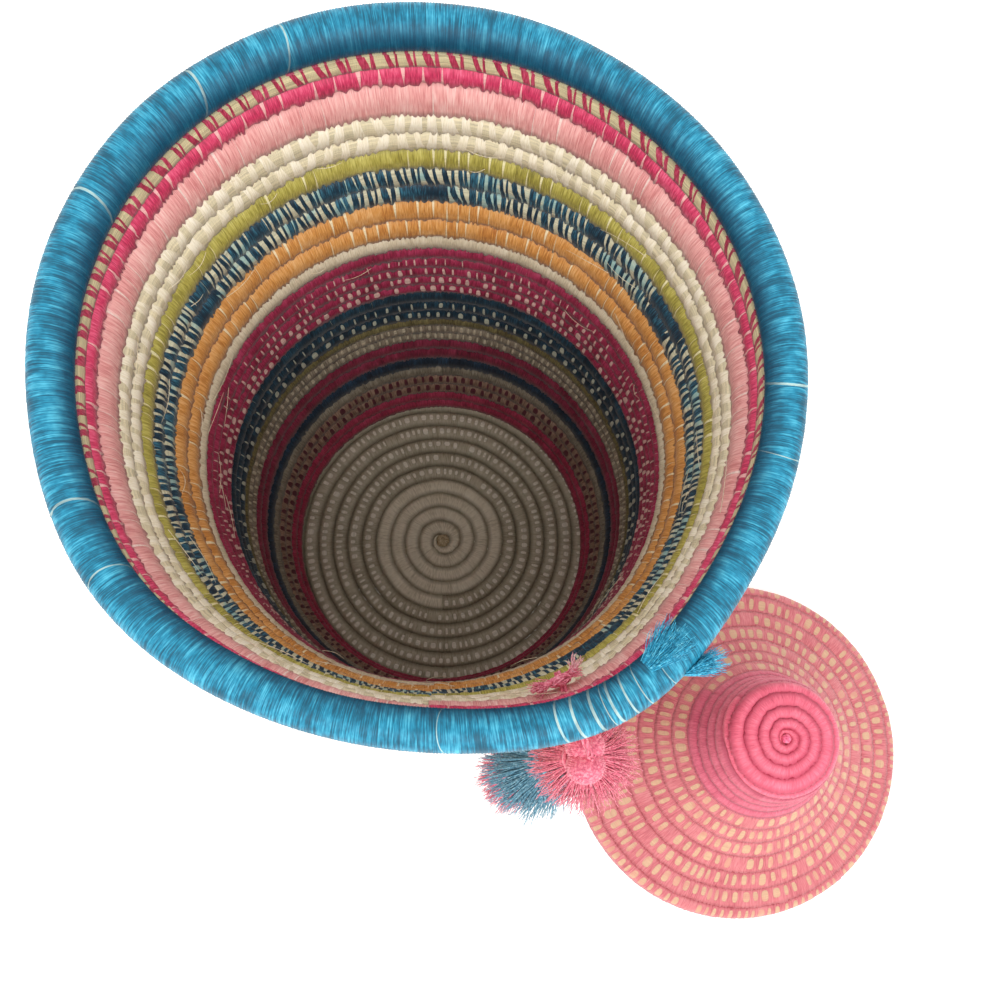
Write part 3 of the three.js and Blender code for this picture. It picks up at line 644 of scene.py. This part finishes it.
# The hoop's raffia was split much finer than the stitches and wound under tension, so it has a
# silk shine that runs along the ring, and threads of several dye lots side by side.
def hoopMaterial():
    s = hoopLook
    material, add = startMaterial("raffia_hoop_blue")
    along, around, _ = stitchCoordinates(add)
    place = add("CombineXYZ", along, around)
    threads, streaks = [
        add("TexNoise", {0: add("VectorMath multiply", place, s[kind]), 2: 1.0, 3: 3.0, 4: rough})
        for kind, rough in (("threads", 0.65), ("streaks", 0.6))]
    chance = add("TexWhiteNoise", {1: add("Math floor", along)}, **oneNumber)
    tone = add("Math multiply_add", add("Math subtract", chance, 0.5), s["wrapTone"], threads)
    tone = add("Math multiply_add", add("Math subtract", streaks, 0.5), s["streakTone"], tone)
    colour = add("ValToRGB", tone, stops=s["dye"])
    # pale threads, laid at a slant over the wrapping, many of them where it is spliced
    turned = add("Math sine", add("Math multiply", around, turnAngle))
    slanted = add("Math multiply_add", turned, s["paleSlant"], along)
    number = add("Math floor", slanted)
    pale = add("TexWhiteNoise", {1: number}, **oneNumber)
    width = add("TexWhiteNoise", {1: add("Math add", number, 0.43)}, **oneNumber)
    spliceWrap = hoopShape["wraps"] * (1 + s["splice"] / 360)
    fromSplice = add("Math absolute", add("Math subtract", number, spliceWrap))
    nearSplice = add("MapRange", fromSplice, *s["spliceWraps"], **smooth)
    likely = add("Math multiply_add", nearSplice, s["paleAtSplice"], s["paleRare"])
    within = add("Math less_than", add("Math fract", slanted), add("Math multiply_add", width, 0.7, 0.25))
    isPale = add("Math multiply", add("Math greater_than", pale, likely), within)
    worn = add("Math multiply", isPale, add("Math multiply_add", streaks, 1.2, -0.05))
    colour = add("Mix", {0: worn, 6: colour, 7: hexToLinear(s["paleThread"])}, **mixing)
    # painted shade: round the ring's section the inner side and the outer edge are darkened towards shade
    # tones, standing in for the shade that falls there
    for side in ("innerShade", "outerShade"):
        start, end, share, shade = s[side]
        sideShade = add("Math multiply", add("MapRange", around, start, end, **smooth), share)
        colour = add("Mix", {0: sideShade, 6: colour, 7: hexToLinear(shade)}, **mixing)
    finishMaterial(add, colour, add("Math add", threads, isPale), 0.45, bumpDepth=0.00025, gloss=0.3)
    return material


hoop = wrappedTube("hoop_wrapping", hoopShape["wraps"], hoopShape["around"], hoopPlace, hoopShape["proud"], 5)
dress(hoop, hoopMaterial(), "basket", "blue_hoop_raffia", "hoop")
print("hoop wraps", hoopShape["wraps"])


# Straw row squeezed in under the hoop: bare grass with single crimson stitches far apart

ledgeShape = {"radius": 114.6, "half": 3.2, "height": 7.2, "clear": 0.6}


def ledgeTrack(level):
    return np.full_like(level, ledgeShape["radius"]), level, np.ones_like(level), np.zeros_like(level)


def underHoop(r, z):
    across, down = r - hoopShape["radius"], z - hoopHeight
    keep = hoopShape["thick"] / 2 + ledgeShape["clear"]
    stretch = np.maximum(1, keep / np.hypot(across, down))
    return hoopShape["radius"] + across * stretch, hoopHeight + down * stretch


ledgeCoil = {
    "track": ledgeTrack,
    "levels": stackRows(wallTop - 0.1, [ledgeShape["height"]]),
    "seam": wallShape["seam"],
    "half": ledgeShape["half"],
    "flat": 0.75 * ledgeShape["half"],
    "keepOff": underHoop,
    "pushed": pushedOut,
    "relief": 0.3,
    "tooth": 0.3,
}
ledgeStart, ledgeEnd = -coilSettings["stepUp"] + runOut, 1 + coilSettings["stepUp"] - runOut
ledge = rollRows("straw_ledge_row", ledgeCoil, ledgeStart, ledgeEnd, 8.0, 71)
ledgeLook = dict(dye=("#BC3454", "#8E2040", "#DC6080"), ground="#E9DCAE", pattern="bars", tilt=0.2,
                 uneven=-0.35, bars=(0.22, 0.12, 0.1, 0.13), rag=0.04, edge=0.2)
dress(ledge, raffia("straw_and_crimson", stitch=8.0, **ledgeLook), "basket", "straw_grass", "lid_ledge")


# Lid: level rows from the edge up the brim and the knob, then a spiral to the crown's middle

lidShape = {
    "centre": (191.9, -135.2), "lean": (-0.02, 0.092), "edgeRadius": 105.0, "half": 3.5,
    "seam": 3 * math.pi / 4,
    "edgeRow": 10.6, "brimRow": 12.6, "brimRows": 6, "footRing": 8.4, "knobRow": 9.2, "knobRows": 3,
    "crownShares": [0.155, 0.27, 0.23, 0.19, 0.155], "crownStart": 2.4,
    "neckRadius": 46.6, "neckHeight": 45.7,
    "knobFootRadius": 36.4, "knobFootHeight": 63.0, "knobRadius": 31.8, "knobHeight": 79.5,
    "crownHeight": 94.8, "crownDrop": 1.6,
}


def lidOutline():
    s = lidShape
    edge, neck, knob = s["edgeRadius"], s["neckRadius"], s["knobRadius"]
    top, drop = s["crownHeight"], s["crownDrop"]
    return np.array([
        (edge, 1.0),
        (edge - 4.6, 7.2),
        (edge - 17, 11.6),
        (neck + (edge - neck) * 0.33, s["neckHeight"] * 0.55),
        (neck, s["neckHeight"]),
        (s["knobFootRadius"], s["knobFootHeight"]),
        (knob, s["knobHeight"]),
        (knob - 1.2, (s["knobHeight"] + top) / 2),
        (knob - 4.8, top - 2 * drop),
        (knob * 0.5, top - 0.3 * drop),
        (0.0, top),
    ])


def splinePoints(points, steps):
    # the same even spline as the frame's outline, as many small steps
    last = len(points) - 1
    made = []
    for k in range(last):
        p0, p1 = points[k if k == 0 else k - 1], points[k]
        p2, p3 = points[k + 1], points[k + 1 if k > last - 2 else k + 2]
        v0, v1 = (p2 - p0) / 2, (p3 - p1) / 2
        for t in np.arange(steps) / steps:
            cubic, square = 2 * p1 - 2 * p2 + v0 + v1, -3 * p1 + 3 * p2 - 2 * v0 - v1
            made.append(cubic * t**3 + square * t**2 + v0 * t + p1)
    return np.array([*made, points[-1]])


lidLine = np.vstack([[lidShape["edgeRadius"], 0.0], splinePoints(lidOutline(), 60)])
lidReach = np.append(0, np.cumsum(np.hypot(*np.diff(lidLine, axis=0).T)))
lidLength = lidReach[-1]


def lidTrack(level):
    at = np.clip(level, 0, lidLength)
    (r, z), ahead, behind = [
        [np.interp(np.clip(at + step, 0, lidLength), lidReach, column) for column in lidLine.T]
        for step in (0, 0.3, -0.3)]
    dr, dz = [further - nearer for further, nearer in zip(ahead, behind)]
    length = np.hypot(dr, dz)
    return r, z, dz / length, -dr / length


def lidLevels():
    s = lidShape
    rows = [s["edgeRow"], *[s["brimRow"]] * s["brimRows"], s["footRing"], *[s["knobRow"]] * s["knobRows"]]
    room = lidLength - sum(rows) - s["crownStart"] - 0.1
    return stackRows(0.0, [*rows, *[share * room for share in s["crownShares"]]]), len(rows)


lidRowLevels, lidLevelRows = lidLevels()
lidCoil = {
    "track": lidTrack,
    "levels": lidRowLevels,
    "levelRows": lidLevelRows,
    "seam": lidShape["seam"],
    "half": lidShape["half"],
    "centre": lidShape["centre"],
    "lean": lidShape["lean"],
    "lowest": 0.0,
    "fromStart": True,
    "relief": 0.5,
    "tooth": 1.0,
    "rowGap": 0.1,
}
salmonLook = dict(dye=("#C8696F", "#AB4852", "#D78789"), ground="#D0AC86", tint="#CC8674", pattern="dots",
                  slant=0.25, dots=(-30.0, 1.0, 0.3), dotTall=(0.16, 0.62, 0.2), dotGroups=0.3, dotClear=0.86,
                  contrast=0.8, rag=0.14, fibres=(0.8, 1.08), edge=0.35, grooveShade=(0.14, 0.8))
pinkLook = dict(dye=("#E6667E", "#C84662", "#F08397"), contrast=0.7, edge=0.9, grooveShade=(0.42, 0.92))
# painted shade: the knob's foot and side take a darker copy of the crown's pink, standing in for the shade on
# the knob's side
shadedKnobLook = dict(dye=("#CD5A71", "#AD3C56", "#DA748A"), contrast=0.7, edge=0.6, grooveShade=(0.3, 0.8))
outerRows = 1 + lidShape["brimRows"] // 2
brimEnd = 1 + lidShape["brimRows"]
crownEnd = len(lidRowLevels) - 1 + 0.5 - coilSettings["taperLeft"]
lidBands = [
    ("lid_edge", ledgeStart, 1, 5.4, salmonLook, "lid_salmon"),
    ("lid_brim_outer", 1, outerRows, 6.2, salmonLook, "lid_salmon"),
    ("lid_brim_inner", outerRows, brimEnd, 6.2, salmonLook, "lid_salmon"),
    ("lid_knob_foot", brimEnd, brimEnd + 1, 3.4, shadedKnobLook, "knob_pink"),
    ("lid_knob_side", brimEnd + 1, lidLevelRows, 3.4, shadedKnobLook, "knob_pink"),
    ("lid_crown", lidLevelRows, crownEnd, 3.0, pinkLook, "knob_pink"),
]
for number, (node, start, end, stitch, look, slot) in enumerate(lidBands):
    piece = rollRows(node + "_rows", lidCoil, start, end, stitch, 91 + number)
    dress(piece, raffia(node, stitch=stitch, **look), "lid", slot, node)
knobKnot = looseRaffia("knob_knot", "#F0648A", "#C23A60", "#FA94AE")
crownX = lidShape["centre"][0] + lidShape["lean"][0] * lidShape["crownHeight"]
crownY = lidShape["centre"][1] + lidShape["lean"][1] * lidShape["crownHeight"]
lidKnot = startKnot("lid_start_knot", (crownX, crownY), lidShape["crownStart"] + 0.3,
                    lidShape["crownHeight"] - lidShape["half"], lidShape["crownHeight"] + lidShape["half"])
dress(lidKnot, knobKnot, "lid", "knob_pink", "lid_crown_start")
print("lid rows", len(lidRowLevels) - 1)


# Loose strands: a curve with many open splines, made a mesh. They all thin out as taper says.

def strandPiece(name, strands, width, look, body, slot, *nodes, taper=None, sides=1):
    curve = bpy.data.curves.new(name, "CURVE")
    curve.dimensions = "3D"
    curve.bevel_depth = width / 2 * mm
    curve.bevel_resolution = sides - 1
    curve.use_fill_caps = True
    for points in strands:
        spline = curve.splines.new("POLY")
        spline.points.add(len(points) - 1)
        places = np.column_stack([np.array(points) * mm, np.ones(len(points))])
        spline.points.foreach_set("co", places.ravel())
        spline.points.foreach_set("radius", np.array(taper or [1] * len(points), dtype=float))
    holder = newObject(name, curve)
    mesh = bpy.data.meshes.new_from_object(holder.evaluated_get(bpy.context.evaluated_depsgraph_get()))
    bpy.data.objects.remove(holder)
    bpy.data.curves.remove(curve)
    mesh.shade_smooth()
    dress(newObject(name, mesh), look, body, slot, *nodes)


def jointPlace(body):
    joints = frame["record"]["behaviour"]["joints"]
    return Vector(next(joint for joint in joints if joint["child"] == body)["pos_m"]) / mm


tasselPink = looseRaffia("tassel_pink", "#E66E86", "#BE4A66", "#F4A2AE", sheen=0.15)
tasselBlue = looseRaffia("tassel_blue", "#6099B0", "#3B6B83", "#A2C8D3", sheen=0.1)
tasselSettings = {
    "strands": 1500,
    "strandWidth": 0.42,
    "strandPoints": 8,
    "gather": 0.35,
    "skirtRadius": 25.0,
    "skirtLength": 27.0,
    "uneven": (0.84, 1.04),
    "bend": 0.16,
    "curl": 0.12,
    "neckLength": 4.0,
    "coreRadius": 4.4,
    "headStrands": 150,
    "headStrandWidth": 1.0,
    "headHeight": 15.0,
    "headRadius": 7.4,
    "lobeOffset": 3.4,
    "wraps": 4.5,
    "wrapPoints": 110,
    "wrapWidth": 1.7,
    "stringLength": 5.0,
    "stringPoints": 16,
    "stringWidth": 0.95,
    "clear": 0.3,
    "gaps": 1.6,
}
golden = 0.618034  # of a turn, spreads strands evenly round
threeStrands = [phase * turnAngle / 3 for phase in range(3)]
# look, slot, how the tassel leans, and its skirt: reach, how much further and towards which side, degrees
tassels = [
    (tasselPink, "tassel_pink", (-1, -1), (0.94, 0.19, -15)),
    (tasselBlue, "tassel_blue", (-10, -8), (1.0, 0.2, -155)),
    (tasselPink, "tassel_pink", (-5, -6), (0.7, 0.3, -140)),
]


def makeTassel(body, look, slot, lean, fan):
    rng = np.random.default_rng(200 + int(body[-1]))
    s = tasselSettings
    length = s["stringLength"] + s["headHeight"] + s["neckLength"] + s["skirtLength"] + s["gaps"]
    down = Vector((*lean, -length)).normalized()
    turning = np.array(Vector((0, 0, -1)).rotation_difference(down).to_matrix())
    top = np.array(jointPlace(body))
    headTop = -s["stringLength"] - s["clear"]
    neckTop = headTop - s["headHeight"] - s["clear"]

    def place(points):
        return np.array(points) @ turning.T + top

    def add(part, made, strands, width, **more):
        strandPiece(f"{body}_{part}_{made}", strands, width, look, body, slot, f"{body}_{part}", **more)

    strands = []
    reachShare, further, towards = fan
    towards = math.radians(towards)
    last = s["strandPoints"] - 1
    for i in range(s["strands"]):
        angle = turnAngle * (i * golden % 1.0) + rng.uniform(-0.1, 0.1)
        angle -= s["gather"] * math.sin(angle - towards)
        facing = math.cos(angle - towards)
        layer = rng.uniform(0.0, 1.0) ** 0.6
        reach = s["skirtRadius"] * (reachShare + further * facing) * (0.2 + 0.8 * layer)
        reach *= rng.uniform(*s["uneven"])
        drop = s["skirtLength"] * rng.uniform(*s["uneven"]) * (1.0 - 0.1 * layer)
        drop *= 1.0 - 1.6 * further * max(0.0, facing) * layer
        bend = rng.uniform(-s["bend"], s["bend"])
        curl = rng.uniform(-s["curl"], s["curl"])
        points = []
        for k in range(last + 1):
            u = k / last
            r = s["coreRadius"] * (0.5 + 0.5 * layer) * (1 - u) + reach * (u ** 0.75 if layer > 0.5 else u)
            swing = angle + bend * u + curl * math.sin(3 * math.pi * u) * 0.4
            z = neckTop - 0.4 - s["neckLength"] * min(1, u * 4) - drop * u ** (1.0 + 0.6 * layer)
            points.append((r * math.cos(swing), r * math.sin(swing), z))
        strands.append(place(points))
    taper = [1.0 - 0.5 * (k / last) ** 3 for k in range(last + 1)]
    add("skirt", "strands", strands, s["strandWidth"], taper=taper)

    # each strand of the head goes up from the neck, over one of the two lobes and down again
    strands = []
    for i in range(s["headStrands"]):
        side = 1 if i % 2 else -1
        yaw = math.pi * (i * golden % 1.0) + rng.uniform(-0.05, 0.05)
        depth = rng.uniform(0.93, 1.0)
        wind = rng.uniform(-0.2, 0.2)
        points = []
        for a in np.linspace(-math.pi / 2 + 0.2, 3 * math.pi / 2 - 0.2, 14):
            flat = s["headRadius"] * 0.86 * math.cos(a) * depth
            turned = yaw + wind * math.sin(a)
            up = s["headHeight"] / 2 * math.sin(a) * (0.9 + 0.1 * depth)
            points.append((flat * math.sin(turned) * 1.1, side * s["lobeOffset"] + flat * math.cos(turned),
                           headTop - s["headHeight"] / 2 + up))
        strands.append(place(points))
    add("head", "strands", strands, s["headStrandWidth"])

    points = []
    for k in range(s["wrapPoints"]):
        u = k / (s["wrapPoints"] - 1)
        a = turnAngle * s["wraps"] * u
        r = s["coreRadius"] + 1.1 + 0.4 * math.sin(9 * a / s["wraps"]) + (0.7 if k % 22 > 10 else 0)
        points.append((r * math.cos(a), r * math.sin(a), neckTop - 0.5 - (s["neckLength"] - 1.0) * u))
    add("binding", "wraps", [place(points)], s["wrapWidth"], sides=2)

    strands = []
    for phase in threeStrands:
        points = []
        for k in range(s["stringPoints"]):
            u = k / (s["stringPoints"] - 1)
            r = 1.05 if k == 1 else 0.55  # the little knot at its top
            z = 1.2 - (s["stringLength"] + 2.4) * u
            points.append((r * math.cos(phase + 9 * u), r * math.sin(phase + 9 * u), z))
        strands.append(place(points))
    add("string", "strands", strands, s["stringWidth"])


for number, settings in enumerate(tassels, 1):
    makeTassel(f"tassel_{number}", *settings)
print("tassels made")


# Tie from the knot inside the wall to the first tassel, and the knot itself

tieShape = {"azimuth": -66.5, "points": 30, "radius": 0.75, "twist": 14, "level": 0.35, "width": 1.4}
upward = Vector((0, 0, 1))


def awayAt(degrees):
    return Vector((math.cos(math.radians(degrees)), math.sin(math.radians(degrees)), 0))


outward = awayAt(tieShape["azimuth"])
alongWall = upward.cross(outward)
knotMiddle = centreOf("tie_knot") / mm


def tieStrands():
    end = jointPlace("tassel_1")
    strands = []
    for phase in threeStrands:
        points = []
        for u in np.arange(tieShape["points"]) / (tieShape["points"] - 1):
            middle = knotMiddle.lerp(end, u)
            sunk = max(0.0, u - tieShape["level"]) / (1 - tieShape["level"])
            middle.z = knotMiddle.z + (end.z - knotMiddle.z) * sunk
            turned = phase + tieShape["twist"] * u
            offset = alongWall * math.cos(turned) + upward * math.sin(turned)
            points.append(tuple(middle + offset * tieShape["radius"]))
        strands.append(points)
    return strands


strandPiece("tassel_tie_strands", tieStrands(), tieShape["width"], tasselPink, "basket", "tassel_pink",
            "tassel_tie")


def bunch(rng, root, direction, count, length, spread, sag):
    # short loose strands that fan out from one place
    strands = []
    for _ in range(count):
        facing = (direction + Vector(rng.normal(size=3)) * spread).normalized()
        reach = length * rng.uniform(0.55, 1.05)
        start = root + Vector(rng.uniform(-1, 1, 3)) * 0.8
        points = []
        for u in np.linspace(0, 1, 7):
            point = start + facing * (reach * u) - upward * (sag * u * u)
            points.append(tuple(point + Vector(rng.normal(size=3)) * 0.25 * u))
        strands.append(points)
    return strands


knotShape = {"loops": 34, "radius": (1.6, 3.9), "width": 0.7, "flat": 0.5, "seat": 3.2, "endWidth": 0.4,
             "endTaper": [1, 1, 0.95, 0.9, 0.8, 0.65, 0.4]}


def knotStrands():
    rng = np.random.default_rng(7)
    strands = []
    for _ in range(knotShape["loops"]):
        axis = Vector(rng.normal(size=3)).normalized()
        first = axis.orthogonal().normalized()
        second = axis.cross(first)
        radius = rng.uniform(*knotShape["radius"])
        shift = Vector(rng.uniform(-1, 1, 3))
        points = []
        for a in np.linspace(0, 1.8 * math.pi, 12):
            point = shift + (first * math.cos(a) + second * math.sin(a)) * radius
            squeeze = point.dot(outward) * (1 - knotShape["flat"]) - knotShape["seat"]
            points.append(tuple(knotMiddle + point - outward * squeeze))
        strands.append(points)
    return strands


# painted light: the knot and its ends take a paler, brighter copy of the tassel pink, standing in for light on
# the knot where it sits in shade under the hoop
litKnotPink = looseRaffia("lit_knot_pink", "#F58AA0", "#D65E7A", "#FFC0CC", sheen=0.1)
palePink = looseRaffia("pale_pink", "#F4B6BC", "#E48C98", "#FCD8D8")
strandPiece("tie_knot_strands", knotStrands(), knotShape["width"], litKnotPink, "basket", "tassel_pink",
            "tie_knot")
rng = np.random.default_rng(8)
knotRoot = knotMiddle + outward * (knotShape["seat"] - 0.6)
knotEnds = bunch(rng, knotRoot - alongWall * 3, upward * 0.3 - alongWall, 70, 8.5, 0.22, 0.6)
knotEnds += bunch(rng, knotRoot + alongWall * 2, alongWall + upward * 0.35, 40, 6.5, 0.25, 0.4)
paleEnds = bunch(rng, knotRoot + alongWall * 5, alongWall * 0.6 - outward * 0.7, 30, 6.5, 0.25, 0.4)
for name, strands, look in (("", knotEnds, litKnotPink), ("pale_", paleEnds, palePink)):
    strandPiece(f"tie_knot_{name}ends", strands, knotShape["endWidth"], look, "basket", "tassel_pink",
                taper=knotShape["endTaper"])


# Stray fibres that stand off the wall: azimuth, share of the wall's height, length and side they turn to

strayShape = {"count": 46, "width": 0.24, "length": (7, 24), "off": 2.6, "dip": 0.35,
              "taper": [1, 1, 1, 1, 1, 0.9, 0.8, 0.6, 0.4]}
strayFibres = [(-68, 0.965, 30, -1), (-70, 0.94, 26, -1), (-125, 0.9, 20, 1), (-10, 0.84, 18, 1),
               (4, 0.9, 16, -1)]


def strayStrands():
    rng = np.random.default_rng(61)
    places = list(strayFibres)
    for _ in range(strayShape["count"]):
        places.append((rng.uniform(-180, 180), rng.uniform(0.55, 0.97), rng.uniform(*strayShape["length"]),
                       rng.choice((-1, 1))))
    strands = []
    for azimuth, share, length, way in places:
        level = wallBase + share * wallShape["height"]
        lift = rng.uniform(0.6, 1.0) * strayShape["off"]
        dip = rng.uniform(-strayShape["dip"], strayShape["dip"]) * length
        points = []
        for u in np.linspace(0, 1, len(strayShape["taper"])):
            angle = math.radians(azimuth) + way * length * u / 108
            z = level + dip * u * u
            r, _, nr, _ = wallTrack(np.array([z]))
            off = wallShape["half"] + 0.2 + lift * math.sin(math.pi * (0.1 + 0.8 * u)) + u * u
            r = float(r[0] - nr[0] * off + pushedOut(angle, z))
            points.append((r * math.cos(angle), r * math.sin(angle), z))
        strands.append(points)
    return strands


paleFibre = looseRaffia("stray_fibre", "#E6D9B8", "#C9B88E", "#F6EEDA")
strandPiece("stray_fibres", strayStrands(), strayShape["width"], paleFibre, "basket", "straw_grass",
            taper=strayShape["taper"])


# Frayed ends of the hoop's wrapping: where each starts, round the basket and round the hoop's section

frayShape = {"length": 13.0, "lift": 0.42, "spread": 0.45, "rootWidth": 2.6, "rootLength": 5, "sag": 1.5,
             "strands": 300, "width": 0.3, "taper": [1, 1, 0.95, 0.9, 0.8, 0.6, 0.35]}
frayEnds = (("hoop_fray_outer", -50, -4, 31), ("hoop_fray_inner", -53.5, 122, 32))
frayBlue = looseRaffia("fray_blue", "#1AA3CA", "#0C6C8C", "#78D8EC", sheen=0.05)


def frayStrands(azimuth, tilt, seed):
    s = frayShape
    rng = np.random.default_rng(seed)
    angle, tilt = math.radians(azimuth), math.radians(tilt)
    out = awayAt(azimuth)
    along = upward.cross(out)
    off = out * math.cos(tilt) + upward * math.sin(tilt)
    side = off.cross(along)
    root = out * (hoopShape["radius"] + float(pushedOut(angle, hoopHeight))) + upward * hoopHeight
    root += off * (hoopShape["thick"] / 2 - 0.4)
    strands = []
    for _ in range(s["strands"]):
        spread = rng.uniform(-1, 1)
        lift = s["lift"] * rng.uniform(0.1, 2.0)
        facing = (along + off * lift + side * spread * s["spread"]).normalized()
        length = s["length"] * rng.uniform(0.45, 1.1)
        start = root - along * rng.uniform(0, s["rootLength"]) + side * (spread * s["rootWidth"])
        points = []
        for u in np.linspace(0, 1, len(s["taper"])):
            point = start + facing * (length * u) - upward * (s["sag"] * u * u)
            points.append(tuple(point + Vector(rng.normal(size=3)) * 0.3 * u))
        strands.append(points)
    return strands


for node, azimuth, tilt, seed in frayEnds:
    strandPiece(node + "_strands", frayStrands(azimuth, tilt, seed), frayShape["width"], frayBlue, "basket",
                "blue_hoop_raffia", node, taper=frayShape["taper"])
print("tie and frayed ends made")


# Floor and light

stageSettings = {
    "size": 6.0,
    "below": 0.0004,
    "colour": "#FAF8F4",
    "roughness": 0.7,
    "glow": 0.35,
    "world": 1.12,
    "key": 17.5,
    "keySize": 1.3,
    "keyPlace": (0.15, -1.19, 1.45),
    "keyAim": (0.0, 0.0, 0.1),
}
work = bmesh.new()
bmesh.ops.create_grid(work, x_segments=1, y_segments=1, size=stageSettings["size"] / 2)
bmesh.ops.translate(work, verts=work.verts, vec=(0, 0, -stageSettings["below"]))
tableTop = newObject("table", intoMesh(work, bpy.data.meshes.new("table")))
tablePaint, add = startMaterial("white_table")
tableColour = hexToLinear(stageSettings["colour"])
add("OutputMaterial", add("BsdfPrincipled", {
    "Base Color": tableColour, "Roughness": stageSettings["roughness"],
    "Emission Color": tableColour, "Emission Strength": stageSettings["glow"]}))
tableTop.data.materials.append(tablePaint)

world = bpy.data.worlds.new("studio")
world.use_nodes = True
world.node_tree.nodes["Background"].inputs[0].default_value = (1, 1, 1, 1)
world.node_tree.nodes["Background"].inputs[1].default_value = stageSettings["world"]
bpy.context.scene.world = world

keyData = bpy.data.lights.new("window", "AREA")
keyData.shape = "SQUARE"
keyData.size = stageSettings["keySize"]
keyData.energy = stageSettings["key"]
keyLight = newObject("window", keyData)
keyLight.location = stageSettings["keyPlace"]
keyAim = Vector(stageSettings["keyAim"]) - keyLight.location
keyLight.rotation_euler = keyAim.to_track_quat("-Z", "Y").to_euler()
